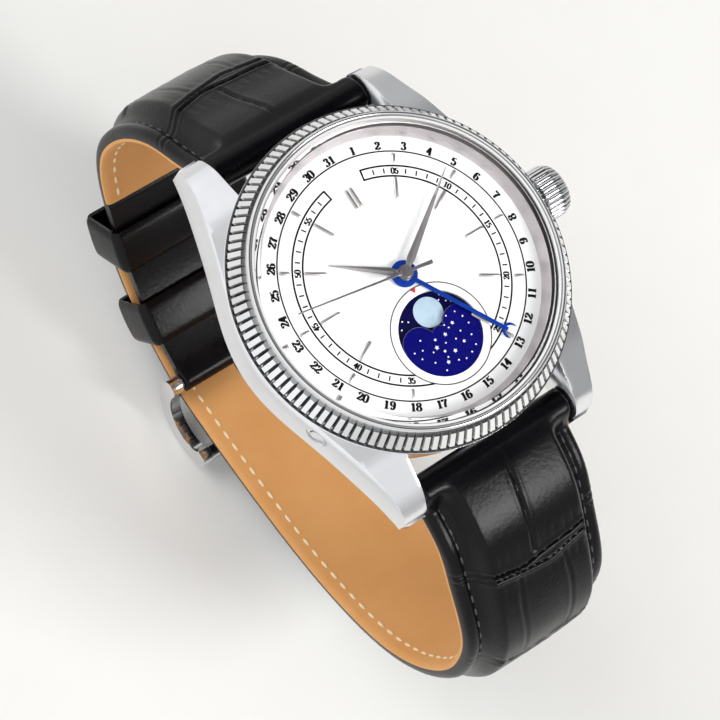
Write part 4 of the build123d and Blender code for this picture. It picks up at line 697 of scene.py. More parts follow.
@dataclass(frozen=True)
class Gem(Finish):
    """Clear or tinted crystal. Light reaches what lies under it through a clear shadow."""

    name: str
    colour: str
    roughness: float
    index: float
    coated: float = 0.0
    spread: Point = (0.5, 1.0)
    haze: float = 4.0

    def build(self, tree: Tree) -> None:
        """Fill the tree with the crystal and its clear shadow.

        Args:
            tree: The material's tree.
        """
        place = add(tree, "ShaderNodeTexCoord").outputs["Object"]
        haze = add(tree, "ShaderNodeTexNoise", {"Vector": place, "Scale": per_mm(self.haze)})
        rough = uneven(tree, haze.outputs["Fac"], self.roughness, self.spread)
        tint = linear(self.colour)
        body = add(tree, "ShaderNodeBsdfPrincipled", {
            "Base Color": tint, "Roughness": rough, "IOR": self.index, "Transmission Weight": 1.0})
        through = add(tree, "ShaderNodeBsdfRefraction", {"Color": tint, "Roughness": 0.0, "IOR": self.index})
        glass = add(tree, "ShaderNodeMixShader", {0: self.coated, 1: body.outputs[0], 2: through.outputs[0]})
        clear = add(tree, "ShaderNodeBsdfTransparent", {"Color": tint})
        path = add(tree, "ShaderNodeLightPath")
        mixed = add(tree, "ShaderNodeMixShader", {
            0: path.outputs["Is Shadow Ray"], 1: glass.outputs[0], 2: clear.outputs[0]})
        add(tree, "ShaderNodeOutputMaterial", {"Surface": mixed.outputs[0]})


# Polished stainless steel of bezel and buckle: bright. Its hairlines are too fine to show at their real size,
# so they are drawn as marks of half a millimetre.
STEEL_POLISHED = Metal("stainless_steel_polished", "E2E2E3", 0.17, Lay.POLISHED, 0.5, 0.0012)
# Stainless steel of the case body: the same polish on slightly domed flanks.
STEEL_DOMED = Metal("stainless_steel_domed", "E6E6E8", 0.2, Lay.POLISHED, 0.5, 0.0012, doming=0.11)
# Stainless steel of flutes and ribs: bright crests, with painted shade darkening the narrow hollows between
# them.
STEEL_FLUTED = Metal("stainless_steel_fluted", "EEEEEF", 0.14, Lay.POLISHED, 0.5, 0.0012, hollow=0.5)
# Rhodium plated flange ring, satin so that the dial doesn't show in it twice.
RHODIUM_SATIN = Metal("rhodium_satin_flange", "CFC9CA", 0.42, Lay.TURNED, 0.05, 0.004)
# Stainless steel turned on a lathe: fine concentric lines.
STEEL_TURNED = Metal("stainless_steel_turned", "C8C8CA", 0.24, Lay.TURNED, 0.05, 0.01)
# Rhodium plated brass of the hands, diamond cut facets: grey and sharp.
RHODIUM_FACET = Metal("rhodium_facet_cut", "B4B0B1", 0.3, Lay.BRUSHED, 0.05, 0.003)
# Rhodium plated markers, polished: paler, with a soft gloss.
RHODIUM_MARKER = Metal("rhodium_marker_polished", "C6C2C1", 0.34, Lay.POLISHED, 0.2, 0.002)
# Rhodium plated bridges with straight decorative stripes.
RHODIUM_STRIPED = Metal("rhodium_plate_striped", "BFC0C3", 0.26, Lay.STRIPED, 0.08, 0.03, 1.6)
# Rhodium plated main plate with overlapping ground circles.
RHODIUM_SPOTTED = Metal("rhodium_plate_spotted", "B9BABD", 0.28, Lay.SPOTTED, 0.08, 0.012, 1.1)
# Gilt brass wheels, turned: warm and satin.
BRASS_TURNED = Metal("gilt_brass_turned", "D2AC5C", 0.26, Lay.TURNED, 0.05, 0.008)
# Hardened and polished tool steel of pinions, arbors and springs: darker grey.
HARD_STEEL = Metal("hardened_steel_polished", "8E9096", 0.18, Lay.POLISHED, 0.2, 0.003)
# Tungsten alloy rotor with straight stripes, as on the bridges.
ROTOR_METAL = Metal("rotor_alloy_turned", "B4B5B8", 0.25, Lay.STRIPED, 0.06, 0.03, 1.6)
# Blue lacquered brass of the date hand: flat royal blue with a clear gloss.
BLUE_LACQUER = Coating("blue_lacquer_brass", "00359A", "002C84", 0.25, 0.8, 0.001, gloss=0.35)
# White lacquered dial: even, with a faint pearl drift.
WHITE_LACQUER = Coating("white_lacquer_dial", "F6F6F5", "F0F1F2", 0.35, 1.8, 0.002, 0.25)
# Pad printed black ink, slightly raised and silky.
BLACK_INK = Coating("pad_printed_ink_black", "010102", "040405", 0.5, 0.3, 0.003, gloss=0.2)
# Pad printed grey brown ink of the thin ring round the moon window.
GREY_INK = Coating("pad_printed_ink_grey", "4A3E36", "584C42", 0.5, 0.3, 0.003)
# Pad printed red ink of the small pointer.
RED_INK = Coating("pad_printed_ink_red", "E0181C", "D01418", 0.45, 0.3, 0.003)
# Pad printed white ink of stars and dots.
WHITE_INK = Coating("pad_printed_ink_white", "FFFFFF", "F4F6FA", 0.4, 0.2, 0.002)
# Navy enamel of the star plate, with a little cloudiness.
NAVY_ENAMEL = Coating("navy_enamel_star_plate", "000058", "010168", 0.22, 1.6, 0.001, gloss=0.3)
# Darker navy lacquer of the turning sky disc below it.
DARK_SKY = Coating("navy_lacquer_sky_disc", "010128", "020244", 0.22, 1.4, 0.001, gloss=0.3)
# Pearl lacquer of the applied moon: pale blue grey with soft mottling.
MOON_PEARL = Coating("pearl_lacquer_moon", "8CA6B8", "BCD0DC", 0.45, 1.3, 0.004)
# Nitrile rubber seals: matt black.
RUBBER = Coating("nitrile_rubber", "141416", "1E1E20", 0.7, 0.4, 0.006)
# Nylon ring that the crystal is pressed into: milky white, as it shows under the crystal's bevel.
NYLON = Coating("nylon_crystal_ring", "E2E2E0", "D6D6D4", 0.35, 0.8, 0.003)
# Black calf leather pressed with scales: a fine pebble grain, a waxed gloss and a faint plum tone.
CALF_BLACK = Leather("calf_leather_black", "040305", "0A080B", 0.27, 0.5, 0.03, 0.17)
# Tan nubuck lining: matt, soft, a little uneven.
NUBUCK_TAN = Leather("nubuck_lining_tan", "D29B60", "C68C50", 0.8, 0.35, 0.02)
# Waxed polyester thread, cream on the lining and black on the leather.
THREAD_CREAM = Coating("waxed_thread_cream", "E8D6B0", "D8C29A", 0.55, 0.15, 0.02)
THREAD_BLACK = Coating("waxed_thread_black", "2C262C", "4A424A", 0.45, 0.15, 0.02)
# Sapphire crystal with an anti-reflection coating: clear, with a weak reflection.
SAPPHIRE = Gem("sapphire_crystal", "FFFFFF", 0.004, 1.77, 0.85)
# Synthetic ruby bearings.
RUBY = Coating("synthetic_ruby", "A80F2C", "C41E3C", 0.08, 0.3, 0.001, 1.0)
# Matt studio paper under the watch.
STUDIO_PAPER = Coating("studio_paper", "E4E3E0", "E0DFDC", 0.8, 8.0, 0.01)


# Repeats made with geometry nodes
def new_tree(name: str, sockets: dict[str, str]) -> tuple[Tree, Node]:
    """Start a geometry tree with named inputs.

    Args:
        name: The tree's name.
        sockets: Input name to socket type.

    Returns:
        The tree and its input node.
    """
    tree = bpy.data.node_groups.new(name, "GeometryNodeTree")
    tree.interface.new_socket("Geometry", in_out="INPUT", socket_type="NodeSocketGeometry")
    for key, kind in sockets.items():
        tree.interface.new_socket(key, in_out="INPUT", socket_type=kind)
    tree.interface.new_socket("Geometry", in_out="OUTPUT", socket_type="NodeSocketGeometry")
    return tree, add(tree, "NodeGroupInput")


def end_tree(tree: Tree, start: Node, instances: Socket) -> None:
    """Realise the instances, set their finish and close the tree.

    Args:
        tree: The geometry tree.
        start: Its input node.
        instances: Socket with the instances.
    """
    real = add(tree, "GeometryNodeRealizeInstances", {0: instances})
    coated = add(tree, "GeometryNodeSetMaterial", {
        "Geometry": real.outputs[0], "Material": start.outputs["Finish"]})
    add(tree, "NodeGroupOutput", {0: coated.outputs[0]})


def ring_tree() -> Tree:
    """Build the tree that repeats a shape round an axis through the origin.

    Returns:
        The tree.
    """
    tree, start = new_tree("repeat_round_axis", {
        "Count": "NodeSocketInt", "First": "NodeSocketFloat", "Step": "NodeSocketFloat",
        "Axis": "NodeSocketVector", "Finish": "NodeSocketMaterial"})
    index = add(tree, "GeometryNodeInputIndex")
    angle = add(tree, "ShaderNodeMath", {
        0: index.outputs[0], 1: start.outputs["Step"], 2: start.outputs["First"]}, operation="MULTIPLY_ADD")
    turn = add(tree, "FunctionNodeAxisAngleToRotation", {
        "Axis": start.outputs["Axis"], "Angle": angle.outputs[0]})
    points = add(tree, "GeometryNodePoints", {"Count": start.outputs["Count"]})
    copies = add(tree, "GeometryNodeInstanceOnPoints", {
        "Points": points.outputs[0], "Instance": start.outputs["Geometry"], "Rotation": turn.outputs[0]})
    end_tree(tree, start, copies.outputs[0])
    return tree


def path_tree() -> Tree:
    """Build the tree that lays stitches along a path whose points know their surface's direction.

    Returns:
        The tree.
    """
    tree, start = new_tree("stitch_along_path", {
        "Spacing": "NodeSocketFloat", "Size": "NodeSocketVector", "Finish": "NodeSocketMaterial"})
    line = add(tree, "GeometryNodeMeshToCurve", {0: start.outputs["Geometry"]})
    points = add(tree, "GeometryNodeCurveToPoints", {
        "Curve": line.outputs[0], "Length": start.outputs["Spacing"]}, mode="LENGTH")
    up = add(tree, "GeometryNodeInputNamedAttribute", {"Name": "up"}, data_type="FLOAT_VECTOR")
    along = add(tree, "FunctionNodeAlignRotationToVector", {"Vector": points.outputs["Tangent"]}, axis="X")
    facing = add(tree, "FunctionNodeAlignRotationToVector", {
        "Rotation": along.outputs[0], "Vector": up.outputs["Attribute"]}, axis="Z", pivot_axis="X")
    bead = add(tree, "GeometryNodeMeshUVSphere", {"Segments": 8, "Rings": 6, "Radius": 0.5})
    copies = add(tree, "GeometryNodeInstanceOnPoints", {
        "Points": points.outputs[0], "Instance": bead.outputs[0], "Rotation": facing.outputs[0],
        "Scale": start.outputs["Size"]})
    end_tree(tree, start, copies.outputs[0])
    return tree


RING_TREE = ring_tree()
PATH_TREE = path_tree()


def grown(obj: Piece, tree: Tree, inputs: dict) -> Piece:
    """Run a geometry tree on an object and keep the result as its mesh.

    Args:
        obj: The object that feeds the tree.
        tree: The tree.
        inputs: Input name to value.

    Returns:
        The same object, with the modifier gone.
    """
    modifier = obj.modifiers.new("repeat", "NODES")
    modifier.node_group = tree
    for item in tree.interface.items_tree:
        if item.in_out == "INPUT" and item.name in inputs:
            modifier[item.identifier] = inputs[item.name]
    return baked(obj)


def repeated(obj: Piece, count: int, step: float, axis: Point, finish: Finish,
             first: float = 0.0) -> Piece:
    """Repeat a piece round an axis through the origin.

    Args:
        obj: The piece.
        count: How many there are in all.
        step: Degrees from one to the next.
        axis: Direction of the axis.
        finish: The finish of them all.
        first: Degrees to the first.

    Returns:
        The same object, which holds them all.
    """
    inputs = {"Count": count, "First": math.radians(first), "Step": math.radians(step), "Axis": axis,
              "Finish": finish.material()}
    return grown(obj, RING_TREE, inputs)


# Case
@dataclass
class Case:
    """Case body, back, crown group, corrector and spring bars."""

    rounding: float = 0.16
    back_edge: float = 0.05
    pusher_edge: float = 0.08
    pin_edge: float = 0.04
    glass_edge: float = 0.08
    gasket_width: float = 0.28
    gasket_top: float = 12.05
    axis_radius: float = 0.001
    axis_weld: float = 3e-6
    cup_radius: float = 1.55
    cup_depth: float = 1.5
    skirt: tuple[Point, ...] = ((0.0, 0.45), (0.12, 0.3), (0.35, 0.1))
    skirt_length: float = 0.42
    crown_ribs: int = 30
    crown_steps: int = 10
    barrel_steps: int = 4
    groove_depth: float = 0.27
    groove_power: float = 0.55
    dome_length: float = 1.1
    dome_drop: float = 0.75
    dome_shoulder: float = 0.1
    dome_steps: int = 8
    face: tuple[Point, ...] = ((0.02, 1.1), (0.0, 1.5))

    def build(self) -> None:
        """Make and dress every piece of the case."""
        body = softened(refined("case_body", self.rounding, degrees=26, segments=3), degrees=40)
        placed(evened(body), STEEL_DOMED, "steel_polished", "case", "case_body")
        shelled("case_back", STEEL_TURNED, "steel_satin", self.back_edge)
        for node in ("corrector_sleeve", "corrector_pusher"):
            shelled(node, STEEL_POLISHED, "steel_polished", self.pusher_edge, 3)
        for node in ("crown_tube", "spring_bar_12", "spring_bar_6"):
            shelled(node, STEEL_TURNED, "steel_satin", self.pin_edge)
        self.gasket()
        for node in ("case_back_gasket", "crown_gasket"):
            dressed(cad(node), RUBBER)
        shelled("back_crystal", SAPPHIRE, "sapphire", self.glass_edge)
        self.crown()

    def gasket(self) -> None:
        """Turn the nylon ring that fills the gap round the crystal, up to just under the bezel."""
        bottom, _ = levels("crystal_gasket")
        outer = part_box("crystal_gasket")[1].x / MM
        inner = outer - self.gasket_width
        profile = [(inner, bottom), (outer, bottom), (outer, self.gasket_top), (inner, self.gasket_top)]
        made = softened(lathe("crystal_gasket_ring", profile), degrees=20)
        placed(made, NYLON, "seal", body_of("crystal_gasket"), "crystal_gasket")

    def crown_stations(self, start: float, end: float, radius: float) -> list[Point]:
        """Follow the crown's outline from the cup round its tube to the middle of its face.

        Args:
            start: Where the crown begins along X.
            end: Where it ends.
            radius: Its largest radius.

        Returns:
            Rows of place along X, radius and share of the ribs' depth.
        """
        cup = start + self.cup_depth
        rows = [(cup, self.axis_radius, 0.0), (cup, self.cup_radius, 0.0), (start, self.cup_radius, 0.0)]
        rows += [(start + x, radius - inset, 0.0) for x, inset in self.skirt]
        rows.append((start + self.skirt_length, radius, 1.0))
        barrel = end - start - self.skirt_length - self.dome_length
        for i in range(self.barrel_steps):
            rows.append((start + self.skirt_length + barrel * (i + 1) / self.barrel_steps, radius, 1.0))
        for i in range(1, self.dome_steps):
            turn = i / self.dome_steps * math.pi / 2
            rows.append((end - self.dome_length * (1 - math.sin(turn)),
                         radius - self.dome_drop * (1 - math.cos(turn)) - self.dome_shoulder, math.cos(turn)))
        rows += [(end - x, radius - inset, 0.0) for x, inset in self.face]
        return [*rows, (end, self.axis_radius, 0.0)]

    def crown(self) -> None:
        """Turn the crown: rounded ribs that run over its domed face."""
        low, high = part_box("crown")
        axis = (high.z + low.z) / 2 / MM
        stations = self.crown_stations(low.x / MM, high.x / MM, (high.y - low.y) / 2 / MM)
        count = self.crown_ribs * self.crown_steps
        points = []
        for x, r, share in stations:
            for i in range(count):
                phase = abs(math.sin(math.pi * i / self.crown_steps))
                deep = self.groove_depth * share * (1 - phase ** self.groove_power)
                turn = TURN * i / count
                points.append((x, (r - deep) * math.cos(turn), axis + (r - deep) * math.sin(turn)))
        made = solid("crown_ribbed", points, grid_faces(len(stations), count, False, True))
        made = softened(closed(made, self.axis_weld), degrees=40)
        placed(made, STEEL_FLUTED, "steel_polished", body_of("crown"), "crown")


@dataclass
class Bezel:
    """Fluted bezel, crystal and the satin flange ring inside."""

    steps: int = 360
    flutes: int = 120
    flute_radius: float = 20.25
    flute_top_radius: float = 19.15
    flute_depth: float = 0.5
    flute_land: float = 0.6
    flute_root: float = 0.3
    flute_height: float = 1.64
    core_inset: float = 0.1
    ring_radius: float = 18.8
    ring_round: float = 0.45
    ring_step: int = 12
    bore_radius: float = 18.15
    base_radius: float = 19.9
    base_height: float = 0.36
    crystal_radius: float = 17.85
    crystal_bevel: float = 0.6
    crystal_dome: float = 0.1
    crystal_steps: int = 12
    flange_bore: float = 16.48
    flange_top: float = 17.15
    flange_edge: Point = (16.62, 0.5)

    def build(self) -> None:
        """Make the bezel's band and flutes, the crystal and the flange ring."""
        bottom, top = levels("bezel")
        shelf = bottom + self.base_height
        crest = shelf + self.flute_height
        self.band(bottom, shelf, crest, top)
        self.fluting(shelf, crest)
        self.crystal()
        self.flange()

    def band(self, bottom: float, shelf: float, crest: float, top: float) -> None:
        """Turn the base and the polished ring with its rounded top.

        Args:
            bottom: Height of the bezel's underside.
            shelf: Height where the flutes begin.
            crest: Height where they end.
            top: Height of the ring's top.
        """
        ring = self.ring_radius - self.bore_radius
        core = self.flute_top_radius - self.flute_depth
        turns = [math.radians(a) for a in range(0, 181, self.ring_step)]
        crown = [(self.ring_radius - ring / 2 * (1 - math.cos(t)), top - self.ring_round * (1 - math.sin(t)))
                 for t in turns]
        profile = [(self.bore_radius, bottom), (self.base_radius, bottom), (self.base_radius, shelf),
                   (self.flute_radius - self.flute_depth - self.core_inset, shelf), (core, crest),
                   (self.ring_radius, crest), *crown]
        band = softened(lathe("bezel_band", profile, self.steps))
        placed(band, STEEL_POLISHED, "steel_polished", body_of("bezel"), "bezel")

    def fluting(self, shelf: float, crest: float) -> None:
        """Cut one flat-topped flute as a wedge and repeat it round the bezel.

        Args:
            shelf: Height where the flutes begin.
            crest: Height where they end.
        """
        half = 180 / self.flutes
        land = half * self.flute_land
        bottom_valley = self.flute_radius - self.flute_depth
        top_valley = self.flute_top_radius - self.flute_depth * self.flute_top_radius / self.flute_radius
        outer = [(*polar(r, a), z) for z, tip, valley in (
            (shelf, self.flute_radius, bottom_valley), (crest, self.flute_top_radius, top_valley))
            for r, a in ((valley, -half), (tip, -land), (tip, land), (valley, half))]
        root = self.ring_radius - self.flute_root
        inner = [(*polar(root, a), z) for z in (shelf, crest) for a in (-half, half)]
        faces = [(0, 1, 5, 4), (1, 2, 6, 5), (2, 3, 7, 6), (4, 5, 6, 7, 11, 10), (0, 8, 9, 3, 2, 1)]
        wedge = closed(solid("bezel_flutes", outer + inner, faces), 0.0)
        made = repeated(wedge, self.flutes, 360 / self.flutes, (0, 0, 1), STEEL_FLUTED)
        placed(softened(closed(made, WELD), degrees=10), STEEL_FLUTED, "steel_polished", body_of("bezel"))

    def crystal(self) -> None:
        """Turn the crystal: straight edge, polished bevel and a slight dome."""
        bottom, top = levels("crystal")
        flat = self.crystal_radius - self.crystal_bevel
        shares = [1 - i / self.crystal_steps for i in range(self.crystal_steps + 1)]
        dome = [(flat * share, top - self.crystal_dome * share ** 2) for share in shares]
        profile = [(0, bottom), (self.crystal_radius, bottom),
                   (self.crystal_radius, top - self.crystal_bevel), *dome]
        made = softened(lathe("crystal_domed", profile), degrees=20)
        placed(made, SAPPHIRE, "sapphire", body_of("crystal"), "crystal")

    def flange(self) -> None:
        """Turn the flange ring that slopes from the dial up to the crystal."""
        bottom, top = levels("rehaut_ring")
        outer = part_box("rehaut_ring")[1].x / MM
        edge, rise = self.flange_edge
        profile = [(self.flange_bore, bottom), (outer, bottom), (outer, top), (self.flange_top, top),
                   (edge, bottom + rise)]
        made = softened(lathe("flange_ring", profile, self.steps), degrees=15)
        placed(made, RHODIUM_SATIN, "steel_polished", body_of("rehaut_ring"), "rehaut_ring")


# Numerals
Stroke = tuple[tuple[Point, ...], bool]


class Numerals:
    """Bold numerals with thick stems, thin joins and ball ends, drawn in a cell of height 1."""

    THICK = 0.3
    THIN = 0.115
    STEM_POWER = 1.6
    CELL = 0.62
    WIDTH = 0.68
    BALL_SIDES = 12
    SHAPES: dict[str, tuple[tuple[Stroke, ...], tuple[tuple[float, float, float], ...]]] = {
        "0": (((((0.31, 0.97), (0.12, 0.8), (0.09, 0.5), (0.12, 0.2), (0.31, 0.03), (0.5, 0.2), (0.53, 0.5),
                (0.5, 0.8)), True),), ()),
        "1": (((((0.33, 0.02), (0.33, 0.98)), False), (((0.33, 0.93), (0.13, 0.8)), False),
              (((0.12, 0.04), (0.54, 0.04)), False)), ()),
        "2": (((((0.12, 0.74), (0.16, 0.9), (0.31, 0.97), (0.47, 0.86), (0.47, 0.66), (0.3, 0.42),
                (0.12, 0.2), (0.08, 0.06)), False),
               (((0.08, 0.09), (0.22, 0.15), (0.38, 0.07), (0.52, 0.14)), False),
               (((0.52, 0.12), (0.56, 0.3)), False)), ((0.16, 0.72, 0.09),)),
        "3": (((((0.12, 0.78), (0.2, 0.94), (0.34, 0.96), (0.46, 0.82), (0.43, 0.62), (0.27, 0.53)), False),
              (((0.27, 0.53), (0.46, 0.44), (0.49, 0.2), (0.34, 0.04), (0.17, 0.06), (0.1, 0.2)), False)),
              ((0.15, 0.77, 0.085), (0.14, 0.22, 0.09))),
        "4": (((((0.4, 0.02), (0.4, 0.98)), False), (((0.42, 0.98), (0.04, 0.28)), False),
              (((0.03, 0.28), (0.58, 0.28)), False), (((0.24, 0.03), (0.56, 0.03)), False)), ()),
        "5": (((((0.12, 0.93), (0.3, 0.9), (0.5, 0.96)), False), (((0.14, 0.95), (0.12, 0.5)), False),
              (((0.12, 0.52), (0.28, 0.62), (0.46, 0.5), (0.49, 0.26), (0.34, 0.04), (0.17, 0.06),
                (0.1, 0.2)), False)), ((0.14, 0.22, 0.09),)),
        "6": (((((0.5, 0.82), (0.38, 0.96), (0.22, 0.9), (0.11, 0.64), (0.11, 0.32)), False),
              (((0.31, 0.58), (0.14, 0.44), (0.14, 0.16), (0.31, 0.03), (0.49, 0.16), (0.49, 0.44)), True)),
              ((0.46, 0.8, 0.085),)),
        "7": (((((0.07, 0.86), (0.24, 0.92), (0.4, 0.86), (0.55, 0.95)), False),
              (((0.54, 0.92), (0.34, 0.52), (0.28, 0.02)), False),
              (((0.08, 0.98), (0.08, 0.72)), False)), ()),
        "8": (((((0.31, 0.96), (0.14, 0.86), (0.15, 0.66), (0.31, 0.53), (0.47, 0.66), (0.48, 0.86)), True),
              (((0.31, 0.53), (0.11, 0.38), (0.12, 0.14), (0.31, 0.03), (0.5, 0.14), (0.51, 0.38)), True)),
              ()),
    }

    @classmethod
    def parts(cls, digit: str) -> tuple[list[Stroke], list[Point]]:
        """Look a digit up; nine is six turned round.

        Args:
            digit: The digit.

        Returns:
            Its strokes and its balls.
        """
        if digit != "9":
            strokes, balls = cls.SHAPES[digit]
            return list(strokes), list(balls)
        strokes, balls = cls.SHAPES["6"]
        turned = [(tuple((cls.WIDTH - x, 1 - y) for x, y in line), loop) for line, loop in strokes]
        return turned, [(cls.WIDTH - x, 1 - y, r) for x, y, r in balls]

    @classmethod
    def ribbon(cls, stroke: Stroke, steps: int = 4) -> Pair:
        """Give a stroke its two edges, thick where it runs upright.

        Args:
            stroke: Centre line and whether it is a loop.
            steps: Samples between two points.

        Returns:
            Left and right edge.
        """
        line, loop = stroke
        base = np.array(line)
        if len(base) > 2:
            base = smooth_line(base, loop, steps)
        if loop:
            base = np.vstack([base, base[:1]])
            ahead = np.roll(base[:-1], -1, 0) - np.roll(base[:-1], 1, 0)
            ahead = np.vstack([ahead, ahead[:1]])
        else:
            ahead = np.gradient(base, axis=0)
        ahead /= np.linalg.norm(ahead, axis=1)[:, None]
        width = cls.THIN + (cls.THICK - cls.THIN) * np.abs(ahead[:, 1]) ** cls.STEM_POWER
        side = np.stack([-ahead[:, 1], ahead[:, 0]], 1) * width[:, None] / 2
        return base + side, base - side

    @classmethod
    def outlines(cls, text: str, middle: Point, height: float, turn: float,
                 squeeze: float = 1.0) -> tuple[list, list]:
        """Place a number on the plan.

        Args:
            text: The digits.
            middle: Centre of the number.
            height: Height in millimetres.
            turn: Clockwise angle in degrees of its upward direction.
            squeeze: Share of the full width.

        Returns:
            Ribbons and ball outlines in millimetres.
        """
        across, up = np.array(polar(1, turn + 90)), np.array(polar(1, turn))
        wide = cls.WIDTH * squeeze
        ribbons, dots = [], []
        for index, digit in enumerate(text):
            shift = (index - len(text) / 2) * wide
            strokes, balls = cls.parts(digit)

            def put(shape: Array) -> list[Point]:
                """Move a digit's points to the plan."""
                local = np.array(shape) * (squeeze * cls.WIDTH / cls.CELL, 1) + (shift, -0.5)
                return [tuple(np.array(middle) + height * (x * across + y * up)) for x, y in local]

            for stroke in strokes:
                left, right = cls.ribbon(stroke)
                ribbons.append((put(left), put(right)))
            for x, y, r in balls:
                dots.append(put(np.array(dot((x, y), r, cls.BALL_SIDES))))
        return ribbons, dots


def smooth_line(points: Array, loop: bool, steps: int) -> Array:
    """Run a Catmull-Rom curve through points.

    Args:
        points: Rows of coordinates.
        loop: True where the last point joins the first.
        steps: Samples between two points.

    Returns:
        Rows of coordinates on the curve.
    """
    if loop:
        padded = np.vstack([points[-1:], points, points[:2]])
    else:
        padded = np.vstack([2 * points[:1] - points[1:2], points, 2 * points[-1:] - points[-2:-1]])
    rows = []
    for i in range(1, len(padded) - 2):
        a, b, c, d = padded[i - 1:i + 3]
        for t in np.linspace(0, 1, steps, endpoint=False):
            rows.append(0.5 * (2 * b + (c - a) * t + (2 * a - 5 * b + 4 * c - d) * t ** 2
                               + (3 * b - a - 3 * c + d) * t ** 3))
    if not loop:
        rows.append(points[-1])
    return np.array(rows)


# Dial
MOON_CENTRE = -7.84


@dataclass
class Dial:
    """Printed dial with applied markers and the moon window."""

    ink: float = 0.015
    track_inner: float = 11.70
    track_outer: float = 12.92
    track_line: float = 0.21
    track_gap: float = 11.5
    tick_length: float = 0.6
    tick_width: float = 0.17
    date_line_radius: float = 14.66
    date_line: float = 0.17
    date_radius: float = 15.34
    date_height: float = 0.98
    minute_height: float = 0.74
    minute_squeeze: float = 0.92
    minutes_left_out: tuple[int, ...] = (30,)
    tick_groups: tuple[tuple[int, int], ...] = (
        (3, 2), (6, 4), (11, 4), (16, 4), (21, 4), (36, 4), (41, 4), (46, 4), (51, 4), (56, 2))
    arc_step: float = 1.5
    moon_centre: float = MOON_CENTRE
    moon_line_radius: float = 5.97
    moon_line: float = 0.15
    pointer: tuple[Point, ...] = ((-0.36, -1.92), (0.36, -1.92), (0.0, -2.5))
    marker_width: float = 0.43
    marker_wall: float = 0.08
    marker_ridge: float = 0.25
    marker_steps: int = 5
    marker_outer: Point = (13.23, 14.46)
    marker_inner: Point = (8.94, 11.58)
    outer_hours: tuple[int, ...] = (1, 2, 3, 4, 5, 7, 8, 9, 10, 11)
    inner_hours: tuple[int, ...] = (1, 2, 3, 4, 5, 8, 9, 10, 11)
    twelve_shift: float = 0.31
    top: float = 0.0

    def build(self) -> None:
        """Print the dial and set its markers."""
        self.top = levels("dial")[1]
        dressed(cad("dial"), WHITE_LACQUER)
        self.lines()
        self.ticks()
        self.numbers()
        self.markers()

    def put(self, obj: Piece, finish: Finish) -> None:
        """Seat a print on the dial."""
        placed(obj, finish, "dial_silver", body_of("dial"))

    def band(self, radius: float, width: float, start: float, end: float, centre: Point = (0, 0)) -> tuple:
        """Draw an arc line between two clock angles.

        Args:
            radius: Its middle radius.
            width: Its width.
            start: Where it begins, in degrees.
            end: Where it ends.
            centre: Centre of the arc.

        Returns:
            Its inner and outer edge.
        """
        count = max(2, round(abs(end - start) / self.arc_step))
        angles = [start + (end - start) * i / count for i in range(count + 1)]
        return tuple([(centre[0] + polar(r, a)[0], centre[1] + polar(r, a)[1]) for a in angles]
                     for r in (radius - width / 2, radius + width / 2))

    def meeting(self, radius: float) -> float:
        """Find where a circle about the centre meets the moon's ring.

        Args:
            radius: The circle's radius.

        Returns:
            The clock angle in degrees.
        """
        away = -self.moon_centre
        share = (radius ** 2 + away ** 2 - self.moon_line_radius ** 2) / (2 * radius * away)
        return 180 - math.degrees(math.acos(share))

    def lines(self) -> None:
        """Print the minute track, the date circle and the moon's ring."""
        tracks = []
        for radius in (self.track_inner, self.track_outer):
            stop = self.meeting(radius)
            tracks.append(self.band(radius, self.track_line, self.track_gap, stop))
            tracks.append(self.band(radius, self.track_line, 360 - self.track_gap, 360 - stop))
        half = math.degrees(self.track_line / 2 / self.track_inner)
        low, high = self.track_inner - self.track_line / 2, self.track_outer + self.track_line / 2
        for angle in (self.track_gap, 360 - self.track_gap):
            tracks.append(([polar(low, angle - half), polar(high, angle - half)],
                           [polar(low, angle + half), polar(high, angle + half)]))
        tracks.append(self.band(self.date_line_radius, self.date_line, 0, 360))
        self.put(strips("track_print", tracks, self.top, self.top + self.ink), BLACK_INK)
        ring = self.band(self.moon_line_radius, self.moon_line, 0, 360, (0, self.moon_centre))
        self.put(strips("moon_ring_print", [ring], self.top, self.top + self.ink), GREY_INK)
        self.put(plate("moon_pointer_print", [self.pointer], self.top, self.top + self.ink), RED_INK)

    def ticks(self) -> None:
        """Print the minute ticks between the numerals, repeated round the centre."""
        half, mean = self.tick_width / 2, (self.track_inner + self.track_outer) / 2
        low, high = mean - self.tick_length / 2, mean + self.tick_length / 2
        bar = [(-half, low), (half, low), (half, high), (-half, high)]
        for first, count in self.tick_groups:
            mark = plate(f"minute_ticks_{first:02d}", [bar], self.top, self.top + self.ink)
            made = repeated(mark, count, -MINUTE_TURN, (0, 0, 1), BLACK_INK, -MINUTE_TURN * first)
            self.put(made, BLACK_INK)

    def numbers(self) -> None:
        """Print the date and minute numerals, upright on both halves of the dial."""
        dates = [(str(day), day * 360 / DAYS, self.date_radius, self.date_height, 1.0)
                 for day in range(1, DAYS + 1)]
        track = (self.track_inner + self.track_outer) / 2
        minutes = [(f"{m:02d}", m * MINUTE_TURN, track, self.minute_height, self.minute_squeeze)
                   for m in range(5, 60, 5) if m not in self.minutes_left_out]
        for name, rows in (("date_numerals", dates), ("minute_numerals", minutes)):
            ribbons, dots = [], []
            for text, angle, radius, height, squeeze in rows:
                turn = angle + 180 if 90 < angle < 270 else angle
                made = Numerals.outlines(text, polar(radius, angle), height, turn, squeeze)
                ribbons += made[0]
                dots += made[1]
            self.put(strips(name, ribbons, self.top, self.top + self.ink), BLACK_INK)
            self.put(plate(name + "_balls", dots, self.top, self.top + self.ink), BLACK_INK)

